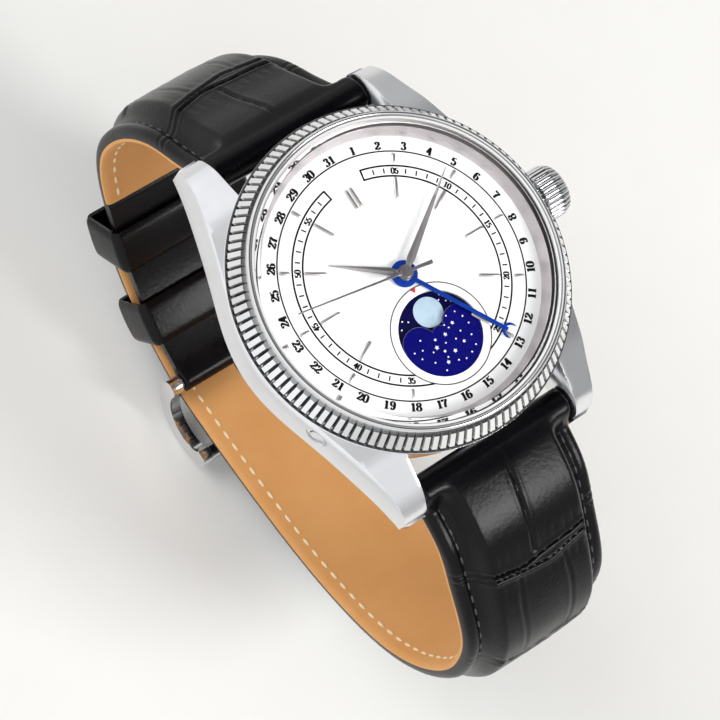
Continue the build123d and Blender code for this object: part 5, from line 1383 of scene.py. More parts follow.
    def marker(self, start: float, end: float, turn: float, shift: float = 0.0) -> tuple[list, list]:
        """Return points and faces of a round ended bar with two facets.

        Args:
            start: Distance of its inner end from the centre.
            end: Distance of its outer end.
            turn: Clock angle in degrees.
            shift: Sideways distance from the hour line.

        Returns:
            Points in millimetres and faces.
        """
        half, steps = self.marker_width / 2, self.marker_steps
        right = arc((shift, end - half), half, 90, 0, steps) + arc((shift, start + half), half, 0, -90, steps)
        left = [(2 * shift - x, y) for x, y in right]
        crest = [(shift, min(max(y, start + half), end - half)) for _, y in right]
        lines = ((right, 0.0), (right, self.marker_wall), (crest, self.marker_ridge),
                 (left, self.marker_wall), (left, 0.0))
        points = []
        for line, height in lines:
            for x, y in line:
                away, clock = math.hypot(x, y), math.degrees(math.atan2(x, y)) + turn
                points.append((*polar(away, clock), self.top + height))
        return points, grid_faces(len(lines), len(right), True, False)

    def markers(self) -> None:
        """Set the applied markers of the hours and the plain pair at 12."""
        hours = [self.marker(*self.marker_outer, hour * HOUR_TURN) for hour in self.outer_hours]
        hours += [self.marker(*self.marker_inner, hour * HOUR_TURN) for hour in self.inner_hours]
        twelve = [self.marker(*self.marker_inner, 0.0, side * self.twelve_shift) for side in (-1, 1)]
        for name, bars, node in (("hour_batons", hours, "hour_markers"),
                                 ("twelve_batons", twelve, "twelve_marker")):
            points, faces = [], []
            for bar_points, bar_faces in bars:
                faces += [[len(points) + k for k in face] for face in bar_faces]
                points += bar_points
            made = softened(closed(solid(name, points, faces), FINE_WELD), degrees=25)
            placed(made, RHODIUM_MARKER, "marker_steel", body_of("hour_markers"), node)


@dataclass
class MoonWindow:
    """Star plate, sky disc, moons and their printed stars."""

    centre: Point = (0.0, MOON_CENTRE)
    hump_radius: float = 2.14
    hump_offset: float = 2.82
    peak_radius: float = 0.98
    rim: float = 0.07
    rim_steps: int = 24
    ink: float = 0.012
    dot_radius: float = 0.095
    dot_sides: int = 10
    star_share: float = 0.42
    star_tips: int = 5
    stars: tuple[Point, ...] = (
        (-1.35, -1.15, 0.3), (0.4, -0.35, 0.27), (1.9, 0.35, 0.26), (0.35, -2.5, 0.28), (-1.1, -3.2, 0.27),
        (1.9, -2.1, 0.24), (-0.75, -1.95, 0.2), (-1.0, -0.3, 0.2))
    plate_dots: tuple[Point, ...] = (
        (-2.0, -1.4), (-2.5, -2.5), (-0.8, -2.7), (0.9, 0.6), (1.7, 1.4), (2.9, 1.3), (3.4, 0.4), (3.6, -0.6),
        (2.2, -0.9), (1.2, -1.4), (0.1, -3.6), (1.0, -3.9), (2.9, -3.1), (-3.0, -0.6), (-3.6, -1.4),
        (-0.1, -1.2), (3.1, -1.9), (-1.8, -3.9), (2.0, -3.6), (-4.0, -0.4), (1.2, 0.1), (-2.6, 0.5))
    sky_dots: tuple[Point, ...] = (
        (-3.9, 1.2), (-3.3, 1.9), (-2.4, 3.0), (2.2, 3.4), (2.9, 2.9), (3.4, 2.6), (-3.6, 2.6), (3.9, 1.9),
        (-3.0, 3.4), (1.4, -3.8), (-1.4, -4.1), (3.2, -2.8), (-3.4, -2.2), (0.2, 4.4), (2.6, 3.9))

    def build(self) -> None:
        """Dress the plate and disc, and print the stars."""
        dressed(cad("moon_window_plate"), NAVY_ENAMEL)
        dressed(cad("moon_disc"), DARK_SKY)
        dressed(cad("moons"), MOON_PEARL)
        self.rims()
        shapes = [self.star(*star) for star in self.stars] + self.spots(self.plate_dots)
        self.put("star_plate_print", shapes, "moon_window_plate")
        self.put("sky_disc_print", self.spots(self.sky_dots), "moon_disc")

    def put(self, name: str, shapes: list[list[Point]], node: str) -> None:
        """Print white shapes, given by their outlines, on top of a CAD node."""
        top = levels(node)[1]
        placed(plate(name, shapes, top, top + self.ink), WHITE_INK, "moon_silver", body_of(node))

    def rims(self) -> None:
        """Lay the bright cut edge along the humps."""
        away, small, large = self.hump_offset, self.peak_radius, self.hump_radius
        reach = (away ** 2 + small ** 2 - large ** 2) / (2 * away)
        rise = math.sqrt(small ** 2 - reach ** 2)
        inner = math.degrees(math.atan2(rise, away - reach))
        top = math.degrees(math.atan2(rise, reach))
        lines = []
        for x, radius, start, end in ((-away, large, 180, inner), (0, small, 180 - top, top),
                                      (away, large, 180 - inner, 0)):
            spot = (self.centre[0] + x, self.centre[1])
            lines.append([arc(spot, r, start, end, self.rim_steps) for r in (radius - self.rim, radius)])
        base = levels("moon_window_plate")[1]
        made = strips("moon_window_rim", lines, base, base + self.ink)
        placed(made, STEEL_POLISHED, "steel_polished", body_of("moon_window_plate"))

    def spots(self, places: Iterable[Point]) -> list[list[Point]]:
        """Return the outlines of printed dots at places about the window's centre."""
        left, low = self.centre
        return [dot((left + x, low + y), self.dot_radius, self.dot_sides) for x, y in places]

    def star(self, x: float, y: float, radius: float) -> list[Point]:
        """Draw a pointed star.

        Args:
            x: Its place across from the window's centre.
            y: Its place up from it.
            radius: Its outer radius.

        Returns:
            Its outline.
        """
        outline = []
        for i in range(2 * self.star_tips):
            dx, dy = polar(radius * self.star_share if i % 2 else radius, i * 180 / self.star_tips)
            outline.append((self.centre[0] + x + dx, self.centre[1] + y + dy))
        return outline


@dataclass
class Hands:
    """Hour, minute, seconds and date hand."""

    facet_edge: float = 0.012
    date_edge: float = 0.03
    cut_radius: float = 0.8
    cut_margin: float = 0.06
    cut_past_horns: float = 0.044
    cut_deeper: float = 0.28
    horn_length: float = 0.15
    ring_inner: float = 1.15
    ring_outer: float = 1.5
    ring_bloom: float = 1.18
    seconds_half: float = 0.45
    seconds_hub: float = 0.95
    seconds_breadth: float = 1.4

    def build(self) -> None:
        """Dress the hands. The seconds hand and the date hand are also reshaped."""
        for node in ("hour_hand", "minute_hand", "seconds_hand"):
            made = refined(node, self.facet_edge, degrees=18)
            if node == "seconds_hand":
                self.broaden(made)
            placed(softened(made, degrees=12), RHODIUM_FACET, "hand_steel", body_of(node), node)
        made = refined("date_hand", self.date_edge)
        self.open_out(made)
        placed(made, BLUE_LACQUER, "hand_blue", body_of("date_hand"), "date_hand")

    def broaden(self, made: Piece) -> None:
        """Broaden the seconds hand across its length, but not its hub.

        Args:
            made: The hand.
        """
        tip = max((v.co for v in made.data.vertices), key=lambda spot: spot.xy.length).xy.normalized()
        side = Vector((-tip.y, tip.x))
        for vertex in made.data.vertices:
            across = vertex.co.xy.dot(side)
            if abs(across) < self.seconds_half * MM and vertex.co.xy.length > self.seconds_hub * MM:
                vertex.co.xy += side * across * (self.seconds_breadth - 1)

    def open_out(self, made: Piece) -> None:
        """Thin the date hand's crescent from its inner side and widen the ring round the centre.

        Args:
            made: The hand.
        """
        spots = np.array([v.co[:2] for v in made.data.vertices]) / MM
        far = np.hypot(*spots.T)
        way = spots[far > far.max() - self.horn_length].mean(0)
        way /= np.linalg.norm(way)
        across = spots @ np.array((-way[1], way[0]))
        middle = math.sqrt(far.max() ** 2 - self.cut_radius ** 2) + self.cut_past_horns
        inside = np.hypot(across, spots @ way - middle) < self.cut_radius + self.cut_margin
        for vertex, x, r, cut in zip(made.data.vertices, across, far, inside):
            if cut:
                share = math.sqrt(max(0.0, 1 - (x / self.cut_radius) ** 2))
                vertex.co -= Vector((*way, 0)) * share * self.cut_deeper * MM
            elif self.ring_inner < r < self.ring_outer:
                vertex.co.xy *= self.ring_bloom


@dataclass
class Movement:
    """Everything between the dial and the glass back, dressed as carried over."""

    def build(self) -> None:
        """Give each inner node its finish."""
        finishes = {
            RHODIUM_SPOTTED: ("mainplate", "movement_ring"),
            RHODIUM_STRIPED: ("barrel_bridge", "train_bridge", "balance_cock"),
            BRASS_TURNED: ("mainspring_barrel", "centre_wheel", "third_wheel", "fourth_wheel", "minute_wheel",
                           "hour_wheel", "date_wheel", "balance_wheel"),
            HARD_STEEL: ("escape_wheel", "pallet_fork", "cannon_pinion", "winding_pinion", "winding_stem",
                         "movement_screws", "rotor_bearing", "hairspring", "ratchet_wheel", "crown_wheel"),
            ROTOR_METAL: ("rotor",),
            RUBY: ("jewels",),
        }
        for finish, nodes in finishes.items():
            for node in nodes:
                dressed(cad(node), finish)


# Strap
class Route:
    """Smooth curve in the plane of the strap loop, measured by its length."""

    SAMPLES = 1200

    def __init__(self, points: Sequence[Point]) -> None:
        """Fit a natural cubic spline.

        Args:
            points: (y, z) points in millimetres.
        """
        knots = np.array(points)
        chord = np.concatenate([[0], np.cumsum(np.linalg.norm(np.diff(knots, axis=0), axis=1))])
        fine = np.linspace(0, chord[-1], self.SAMPLES)
        self.line = np.stack([self.spline(chord, knots[:, k], fine) for k in (0, 1)], 1)
        steps = np.linalg.norm(np.diff(self.line, axis=0), axis=1)
        self.at = np.concatenate([[0], np.cumsum(steps)])
        self.length = self.at[-1]

    @staticmethod
    def spline(knots: Array, values: Array, where: Array) -> Array:
        """Evaluate a natural cubic spline.

        Args:
            knots: Where its values are known.
            values: The known values.
            where: Where its values are wanted.

        Returns:
            The wanted values.
        """
        count, gap = len(knots), np.diff(knots)
        matrix, right = np.eye(count), np.zeros(count)
        for i in range(1, count - 1):
            matrix[i, i - 1:i + 2] = (gap[i - 1], 2 * (gap[i - 1] + gap[i]), gap[i])
            right[i] = 6 * ((values[i + 1] - values[i]) / gap[i] - (values[i] - values[i - 1]) / gap[i - 1])
        bend = np.linalg.solve(matrix, right)
        i = np.clip(np.searchsorted(knots, where) - 1, 0, count - 2)
        h, a, b = gap[i], knots[i + 1] - where, where - knots[i]
        return (bend[i] * a ** 3 + bend[i + 1] * b ** 3) / (6 * h) + (values[i] / h - bend[i] * h / 6) * a + (
            values[i + 1] / h - bend[i + 1] * h / 6) * b

    def frame(self, along: Array) -> Pair:
        """Follow the curve, straight on past its ends.

        Args:
            along: Distances along it.

        Returns:
            Places and directions.
        """
        inside = np.clip(along, 0, self.length)
        place = np.stack([np.interp(inside, self.at, self.line[:, k]) for k in (0, 1)], -1)
        slope = np.gradient(self.line, self.at, axis=0)
        ahead = np.stack([np.interp(inside, self.at, slope[:, k]) for k in (0, 1)], -1)
        ahead /= np.linalg.norm(ahead, axis=-1)[..., None]
        return place + ahead * (along - inside)[..., None], ahead


@dataclass(frozen=True)
class Crease:
    """A fold pressed into the leather through (along, across) points, with a soft roll beside it."""

    line: tuple[Point, ...]
    depth: float
    width: float
    roll_away: float = 2.6
    roll_width: float = 1.5
    roll_share: float = 0.3

    def drop(self, along: Array, across: Array) -> Array:
        """Work out how far the fold lowers the leather.

        Args:
            along: Distance along the strap.
            across: Distance from its middle line.

        Returns:
            The drop in millimetres.
        """
        gap = np.full(along.shape, np.inf)
        for (a, b), (c, d) in zip(self.line, self.line[1:]):
            share = ((along - a) * (c - a) + (across - b) * (d - b)) / ((c - a) ** 2 + (d - b) ** 2)
            share = np.clip(share, 0, 1)
            gap = np.minimum(gap, np.hypot(along - a - share * (c - a), across - b - share * (d - b)))
        roll = np.exp(-((gap - self.roll_away * self.width) / (self.roll_width * self.width)) ** 2)
        return self.depth * (np.exp(-(gap / self.width) ** 2) - self.roll_share * roll)


@dataclass(frozen=True)
class Scales:
    """Pressed scales of a strap half: rows of paired folds through (along, across, share of bend) points."""

    first: tuple[Point, ...] = ((-4.0, 0.3), (2.5, 0.0), (6.0, -0.5), (10.6, -0.8))
    first_depth: float = 0.24
    near: tuple[Point, ...] = ((-1.9, -11, 0), (-0.5, -5.5, 0), (0.2, -2.7, 1), (-0.3, 1.3, 0),
                               (-0.5, 4.6, 0), (-1.6, 11, 0))
    far: tuple[Point, ...] = ((-0.7, -11, 0), (0.3, -5.5, 0), (0.9, -2.4, 0), (1.5, 1.3, 1),
                              (0.8, 4.4, 0), (-0.3, 11, 0))
    depth: float = 0.3
    far_share: float = 0.9
    width: float = 0.18
    fading: float = 0.3
    bend: float = 0.5
    bend_turn: float = 2.3
    first_row: float = 11.8
    pitch: float = 13.5
    pitch_loss: float = 0.3
    clear_end: float = 8.0
    link_places: tuple[Point, Point] = ((-3.4, 3.1), (-0.6,))
    link_start: float = 1.6
    link_middle: float = 6.0
    link_stop: float = 1.2
    link_bow: float = 1.12
    link_share: float = 0.4
    link_width: float = 0.2

    def creases(self, length: float) -> tuple[Crease, ...]:
        """Lay out the rows, and the lengthwise links between them.

        Args:
            length: Length of the strap half.

        Returns:
            The folds.
        """
        made = [Crease(self.first, self.first_depth, self.width)]
        row, index = self.first_row, 0
        while row < length - self.clear_end:
            depth = self.depth / (1 + self.fading * index)
            bend = self.bend * math.sin(self.bend_turn * index)
            for fold, share in ((self.near, 1.0), (self.far, self.far_share)):
                line = tuple((row + x + bend * part, y) for x, y, part in fold)
                made.append(Crease(line, depth * share, self.width))
            following = row + self.pitch - self.pitch_loss * index
            for y in self.link_places[index % 2]:
                line = ((row + self.link_start, y), (row + self.link_middle, y * self.link_bow),
                        (following - self.link_stop, y))
                made.append(Crease(line, depth * self.link_share, self.link_width))
            row, index = following, index + 1
        return tuple(made)


@dataclass(frozen=True)
class Seam:
    """Stitches along both edges of one face of a strap half."""

    name: str
    finish: Finish
    slot: str
    way: int
    start: float
    stop: float
    size: Point
    lift: float
    pitch: float = 2.0
    samples: int = 260

    def thread(self, name: str, points: Array, ups: Array) -> Piece:
        """Sew stitches along a line on a surface.

        Args:
            name: The piece's name.
            points: The line in millimetres.
            ups: The surface's direction at each point.

        Returns:
            The stitches as one object.
        """
        obj = solid(name, points.tolist(), [], [(i, i + 1) for i in range(len(points) - 1)])
        flow = obj.data.attributes.new("up", "FLOAT_VECTOR", "POINT")
        flow.data.foreach_set("vector", ups.astype(np.float32).ravel())
        inputs = {"Spacing": self.pitch * MM, "Size": tuple(c * MM for c in self.size),
                  "Finish": self.finish.material()}
        return softened(grown(obj, PATH_TREE, inputs), degrees=60)


OUTER_SEAM = Seam("outer", THREAD_BLACK, "leather_black", 1, 3.4, 4.0, (1.15, 0.34, 0.24), 0.04)
INNER_SEAM = Seam("inner", THREAD_CREAM, "leather_tan", -1, 2.0, 1.5, (1.35, 0.46, 0.3), -0.03)


@dataclass
class StrapHalf:
    """One padded strap half: leather over a tan lining, sewn along its edges."""

    name: str
    shares: tuple[Point, ...]
    side: int
    tip_width: float
    lug_bar: Point
    lining_end: float
    buckle_bar: Point | None = None
    span: float = 40.0
    depth: float = 51.0
    width: float = 21.4
    end_width: float = 18.0
    taper_share: float = 0.8
    tip_share: float = 0.93
    pad_share: float = 0.62
    lining: float = 0.7
    edge: float = 1.5
    pad_start: float = 3.9
    pad_end: float = 2.0
    margin: float = 2.0
    shoulder: float = 2.0
    dome: float = 0.35
    bar_start: float = 0.4
    bar_rise: float = 3.2
    seam_depth: float = 0.3
    seam_offset: float = 0.25
    seam_width: float = 0.26
    edge_crease: float = 0.3
    flex_rows: Point = (9.6, 14.4)
    flex_width: float = 0.9
    flex_depth: float = 0.09
    flex_pitch: float = 1.3
    flex_power: int = 6
    lip: float = 0.9
    lip_share: float = 0.8
    lug_fold: float = 2.0
    buckle_fold: float = 1.35
    fold_reach: float = 2.6
    fold_lip: float = 0.45
    fold_lip_width: float = 0.6
    fold_turns: Point = (4, 86, 9)
    thinnest: float = 0.02
    tip_power: float = 1.5
    tip_round: float = 1.3
    slot: Point = (1.3, 2.3)
    fine_end: float = 15.0
    fine_step: float = 0.17
    coarse_step: float = 0.45
    leather_columns: int = 100
    lining_columns: int = 40
    lining_start: float = 0.4
    lining_step: float = 0.5
    lining_short: float = 0.6
    lining_fade: float = 0.5
    lining_round: float = 0.3

    def __post_init__(self) -> None:
        """Fit the route, and find the bars along it."""
        self.route = Route([(self.span * y, self.depth * z) for y, z in self.shares])
        self.creases = Scales().creases(self.route.length)
        self.folds = [(*self.along_route(self.lug_bar, 0.0), self.lug_fold, 1)]
        if self.buckle_bar:
            self.folds.append((*self.along_route(self.buckle_bar, self.route.length), self.buckle_fold, -1))

    def along_route(self, spot: Point, near: float) -> Point:
        """Find a spot from an end of the strap half.

        Args:
            spot: Its (y, z) place in millimetres.
            near: Distance of the end along the route.

        Returns:
            How far along and how high over the inner face it lies.
        """
        place, ahead = self.route.frame(np.array([near]))
        away = np.array(spot) - place[0]
        out = self.side * np.array([-ahead[0, 1], ahead[0, 0]])
        return near + float(away @ ahead[0]), float(away @ out)

    def half_width(self, along: Array) -> Array:
        """Work out half the strap's width.

        Args:
            along: Distance along the route.

        Returns:
            Half the width there.
        """
        share = np.clip(along / self.route.length, 0, 1)
        taper = self.width + (self.end_width - self.width) * np.minimum(1.0, share / self.taper_share)
        point = np.maximum(0.0, share - self.tip_share) / (1 - self.tip_share)
        return (taper - (self.end_width - self.tip_width) * point ** self.tip_power) / 2

    def place(self, along: Array, across: Array, height: Array) -> Array:
        """Turn strap coordinates into places.

        Args:
            along: Distance along the route.
            across: Distance from the middle line along X.
            height: Distance from the inner face, outwards.

        Returns:
            Places in millimetres, one more axis than the arguments.
        """
        spot, ahead = self.route.frame(along)
        out = self.side * np.stack([-ahead[..., 1], ahead[..., 0]], -1)
        flat = spot + out * height[..., None]
        return np.concatenate([across[..., None], flat], -1)

    def padding(self, along: Array, across: Array, half: Array) -> Array:
        """Shape the leather's outer face, with its margins, crown and creases.

        Args:
            along: Distance along the route.
            across: Distance from the middle line.
            half: Half the strap's width there.

        Returns:
            Its height over the inner face.
        """
        share = np.clip(along / self.route.length, 0, 1)
        away = half - np.abs(across)
        near_bar = 1 - smoothstep((along + self.bar_start) / self.bar_rise)
        rise = smoothstep((away - self.margin) / self.shoulder)
        rise = rise + (1 - rise) * near_bar
        crown = self.pad_start + (self.pad_end - self.pad_start) * np.minimum(1.0, share / self.pad_share)
        height = self.edge + (crown - self.edge) * rise + self.dome * rise * (1 - (across / half) ** 2)
        groove = np.exp(-((away - self.margin + self.seam_offset) / self.seam_width) ** 2)
        height -= self.seam_depth * groove * (1 - near_bar)
        for crease in self.creases:
            height -= crease.drop(along, across) * (self.edge_crease + (1 - self.edge_crease) * rise)
        row = sum(np.exp(-((along - spot) / self.flex_width) ** 2) for spot in self.flex_rows)
        ripple = np.maximum(0, np.cos(across * TURN / self.flex_pitch + np.sin(across))) ** self.flex_power
        height -= self.flex_depth * row * rise * ripple
        lip = np.clip(away / self.lip, 0, 1)
        return self.lining + height - self.edge * self.lip_share * (1 - np.sqrt(1 - (1 - lip) ** 2))

    def shell(self, along: Array, across: Array) -> Pair:
        """Shape the leather, round where it folds over a bar or ends.

        Args:
            along: Distance along the route.
            across: Distance from the middle line.

        Returns:
            Heights of its inner and outer face.
        """
        half = self.half_width(along)
        outer = self.padding(along, across, half)
        inner = self.lining * smoothstep(along) * smoothstep(self.lining_end - along + self.lining_fade)
        away = np.clip((half - np.abs(across)) / self.fold_lip_width, 0, 1)
        lip = self.fold_lip * (1 - np.sqrt(1 - (1 - away) ** 2))
        for centre, lift, radius, way in self.folds:
            past = way * (centre - along)
            bulge = np.sqrt(np.clip(radius ** 2 - np.maximum(past, 0) ** 2, 0, None))
            bulge = np.maximum(bulge - lip, self.thinnest)
            share = smoothstep(1 + past / self.fold_reach)
            outer = outer + (lift + bulge - outer) * share
            inner = inner + (lift - bulge - inner) * share
        if not self.buckle_bar:
            left = np.clip((self.route.length - along) / self.tip_round, 0, 1)
            outer = inner + (outer - inner) * np.sqrt(np.clip(1 - (1 - left) ** 2, self.thinnest, 1))
        return inner, outer

    def stations(self) -> Array:
        """Place the leather's sections, close together where it folds and creases.

        Returns:
            Distances along the route.
        """
        turns = np.radians(np.linspace(*self.fold_turns))
        centre, _, radius, _ = self.folds[0]
        parts = [centre - radius * np.cos(turns), np.arange(centre, self.fine_end, self.fine_step)]
        last = self.folds[1][0] if self.buckle_bar else self.route.length
        parts.append(np.linspace(self.fine_end, last, round((last - self.fine_end) / self.coarse_step)))
        if self.buckle_bar:
            parts.append(last + self.folds[1][2] * np.sin(turns))
        return np.concatenate(parts)

    def loft(self, name: str, stations: Array, across_steps: int, faces_at: Callable[[Array, Array], Pair],
             slotted: bool = False) -> Piece:
        """Build a closed strip between an inner and an outer face.

        Args:
            name: The piece's name.
            stations: Distances along the route.
            across_steps: Columns over a face.
            faces_at: Gives inner and outer height at (along, across).
            slotted: True to leave room for the tongue's eye at the buckle bar.

        Returns:
            The closed mesh.
        """
        wave = np.sin(np.linspace(-math.pi / 2, math.pi / 2, across_steps))
        spread = 0.5 * wave + 0.5 * np.linspace(-1, 1, across_steps)
        along = np.repeat(stations[:, None], across_steps, 1)
        across = spread[None, :] * self.half_width(along)
        if slotted:
            stop = self.folds[1][0] - self.slot[1]
            along = np.where(np.abs(across) < self.slot[0], np.minimum(along, stop), along)
        inner, outer = faces_at(along, across)
        top = self.place(along, across, outer)
        base = self.place(along, across, inner)
        points = np.concatenate([top, base[:, ::-1]], 1).reshape(-1, 3)
        columns, count = 2 * across_steps, len(stations)
        faces = grid_faces(count, columns, False, True)
        for row, flip in ((0, 1), (count - 1, -1)):
            first = row * columns
            for j in range(across_steps - 1):
                faces.append([first + k for k in (j, j + 1, columns - 2 - j, columns - 1 - j)][::flip])
        return softened(closed(solid(name, points.tolist(), faces), FINE_WELD), degrees=50)

    def under(self, along: Array, across: Array) -> Pair:
        """Return the lining's two heights, soft at its edge."""
        away = self.half_width(along) - np.abs(across)
        return self.lining_round * np.exp(-away / self.lining_round), np.full(along.shape, self.lining)

    def build(self, leather: str, lining: str) -> None:
        """Make the leather, the lining and their stitches.

        Args:
            leather: CAD node of the leather.
            lining: CAD node of the lining.
        """
        body = self.loft(self.name + "_padded", self.stations(), self.leather_columns, self.shell,
                         bool(self.buckle_bar))
        last = min(self.lining_end, self.route.length - self.lining_short)
        rows = np.linspace(self.lining_start, last, round(last / self.lining_step))
        nubuck = self.loft(self.name + "_nubuck", rows, self.lining_columns, self.under)
        if not self.buckle_bar:
            body, nubuck = punched(body), punched(nubuck)
        placed(body, CALF_BLACK, "leather_black", body_of(leather), leather)
        placed(nubuck, NUBUCK_TAN, "leather_tan", body_of(lining), lining)
        self.sew(OUTER_SEAM, self.route.length, body_of(leather))
        self.sew(INNER_SEAM, last, body_of(lining))

    def sew(self, seam: Seam, end: float, body: str) -> None:
        """Sew both edges of one face.

        Args:
            seam: The face and its thread.
            end: Where the face ends along the route.
            body: The body that it rides on.
        """
        along = np.linspace(seam.start, end - seam.stop, seam.samples)
        _, ahead = self.route.frame(along)
        facing = seam.way * self.side
        ups = np.column_stack([np.zeros(len(along)), -facing * ahead[:, 1], facing * ahead[:, 0]])
        for edge, sign in (("left", -1), ("right", 1)):
            across = sign * (self.half_width(along) - self.margin + self.seam_offset)
            face = self.shell(along, across)[1] if seam.way > 0 else np.zeros(along.shape)
            spots = self.place(along, across, face + seam.lift)
            made = seam.thread(f"{self.name}_{seam.name}_stitches_{edge}", spots, ups)
            placed(made, seam.finish, seam.slot, body)


def punched(obj: Piece, low: Point = (-0.85, 5.0, -56.0), high: Point = (0.85, 9.9, -44.0)) -> Piece:
    """Punch the tongue's hole through a strap piece, as an upright slot.

    Args:
        obj: The strap piece.
        low: Lowest corner of the slot in millimetres.
        high: Highest corner.

    Returns:
        The same object.
    """
    plan = ((low[0], low[1]), (high[0], low[1]), (high[0], high[1]), (low[0], high[1]))
    corners = [(x, y, z) for z in (low[2], high[2]) for x, y in plan]
    sides = [(0, 3, 2, 1), (4, 5, 6, 7), (0, 1, 5, 4), (1, 2, 6, 5), (2, 3, 7, 6), (3, 0, 4, 7)]
    cutter = bevelled(solid("punch", corners, sides), width=0.5, segments=3)
    cut = obj.modifiers.new("hole", "BOOLEAN")
    cut.operation = "DIFFERENCE"
    cut.object = cutter
    baked(obj)
    bpy.data.objects.remove(cutter)
    return softened(obj, degrees=50)


# Routes of both halves from the case on, as shares of the loop's span and depth.
BUCKLE_SHARES = (
    (0.514, 0.02), (0.565, -0.02), (0.633, -0.08), (0.74, -0.169), (0.783, -0.222), (0.82, -0.286),
    (0.863, -0.427), (0.866, -0.51), (0.848, -0.571), (0.778, -0.671), (0.625, -0.796), (0.45, -0.893),
    (0.222, -0.945))
TAIL_SHARES = (
    (-0.535, 0.014), (-0.6275, 0.0), (-0.69, -0.018), (-0.782, -0.078), (-0.84, -0.12), (-0.9025, -0.167),
    (-0.9525, -0.218), (-0.985, -0.29), (-1.0, -0.382), (-0.985, -0.482), (-0.94, -0.59), (-0.852, -0.7),
    (-0.7, -0.8), (-0.51, -0.876), (-0.3, -0.93), (-0.1, -0.968), (0.1, -0.997), (0.22, -1.006),
    (0.36, -0.985), (0.487, -0.951), (0.59, -0.906), (0.68, -0.851), (0.787, -0.758))


@dataclass
class Strap:
    """Both halves, the two keepers and the buckle."""

    bar_reach: float = 21.6
    bar_height: float = 3.4
    buckle_bar: Point = (8.4, -49.3986)
    buckle_edges: tuple[tuple[str, float], ...] = (
        ("buckle_frame", 0.45), ("buckle_tongue", 0.15), ("buckle_bar", 0.05))
    keeper_corner: float = 1.3
    keeper_thickness: float = 0.9
    keeper_crown: float = 0.16
    keeper_edge: float = 0.28
    edge_share: float = 0.8
    inner_share: float = 0.94
    corner_steps: int = 10
    face_steps: int = 6
    turn_step: float = 0.5

    def build(self) -> None:
        """Make the strap. The tail's lining runs to its tip, so its end lies past it."""
        bar = (self.bar_reach, self.bar_height)
        StrapHalf("strap_12", BUCKLE_SHARES, 1, tip_width=18.0, lug_bar=bar, lining_end=41.2,
                  buckle_bar=self.buckle_bar).build("buckle_strap_leather", "buckle_strap_lining")
        bar = (-self.bar_reach, self.bar_height)
        StrapHalf("strap_6", TAIL_SHARES, -1, tip_width=13.0, lug_bar=bar,
                  lining_end=200.0).build("tail_strap_leather", "tail_strap_lining")
        for node in ("fixed_keeper", "free_keeper"):
            placed(self.keeper(node), CALF_BLACK, "leather_black", body_of(node), node)
        for node, width in self.buckle_edges:
            shelled(node, STEEL_POLISHED, "steel_polished", width, 4)

    def keeper(self, node: str) -> Piece:
        """Sew a leather loop in the place of its CAD ring: round corners and a crowned outer face.

        Args:
            node: CAD node of the keeper.

        Returns:
            The closed loop.
        """
        centre, tall, long = self.ring_axes(node)
        mesh = np.array([v.co for v in cad(node).data.vertices]) / MM - centre
        half_x = np.abs(mesh[:, 0]).max()
        half_h = np.abs(mesh[:, 1:] @ tall[1:]).max()
        half_l = np.abs(mesh[:, 1:] @ long[1:]).max()
        path = self.rounded(half_x, half_h)
        profile = self.band_profile(half_l)
        points = []
        for (x, h), (nx, nh) in path:
            for depth, length in profile:
                spot = centre + np.array([x - nx * depth, 0, 0]) + tall * (h - nh * depth) + long * length
                points.append(tuple(spot))
        made = solid(node + "_leather", points, grid_faces(len(path), len(profile), True, True))
        return softened(closed(made), degrees=50)

    def ring_axes(self, node: str) -> tuple[Array, Array, Array]:
        """Find how a keeper lies, as the turn whose box round it is smallest.

        Args:
            node: CAD node of the keeper.

        Returns:
            Its centre, the direction out of the strap and the one along it.
        """
        spots = np.array([v.co for v in cad(node).data.vertices]) / MM
        centre = (spots.max(0) + spots.min(0)) / 2
        best = None
        for turn in np.radians(np.arange(0, 180, self.turn_step)):
            along = np.array([0, math.cos(turn), math.sin(turn)])
            out = np.array([0, -math.sin(turn), math.cos(turn)])
            area = np.ptp(spots @ along) * np.ptp(spots @ out)
            if best is None or area < best[0]:
                best = (area, along, out)
        _, along, out = best
        if np.ptp(spots @ along) > np.ptp(spots @ out):
            along, out = out, along
        return centre, out, along

    def rounded(self, half_x: float, half_h: float) -> list[tuple[Point, Point]]:
        """Go round a rectangle with round corners.

        Args:
            half_x: Half its width.
            half_h: Half its height.

        Returns:
            Points and their outward directions.
        """
        corner = self.keeper_corner
        flat_x, flat_h = half_x - corner, half_h - corner
        made = []
        for quarter, (sx, sh) in enumerate(((1, 1), (-1, 1), (-1, -1), (1, -1))):
            for step in range(self.corner_steps + 1):
                turn = math.radians(quarter * 90 + step * 90 / self.corner_steps)
                x, h = math.cos(turn), math.sin(turn)
                made.append(((sx * flat_x + corner * x, sh * flat_h + corner * h), (x, h)))
        return made

    def band_profile(self, half: float) -> list[Point]:
        """Draw the loop's section.

        Args:
            half: Half the loop's length along the strap.

        Returns:
            Depth under the outer face, and place along the strap.
        """
        thick, count, flat = self.keeper_thickness, self.face_steps, self.edge_share
        outer = [(self.keeper_crown * (k / count) ** 2
                  + self.keeper_edge * max(0.0, abs(k / count) - flat) / (1 - flat), half * k / count)
                 for k in range(-count, count + 1)]
        inner = half * self.inner_share
        return [*outer, (thick / 2, half), (thick, inner), (thick, -inner), (thick / 2, -half)]


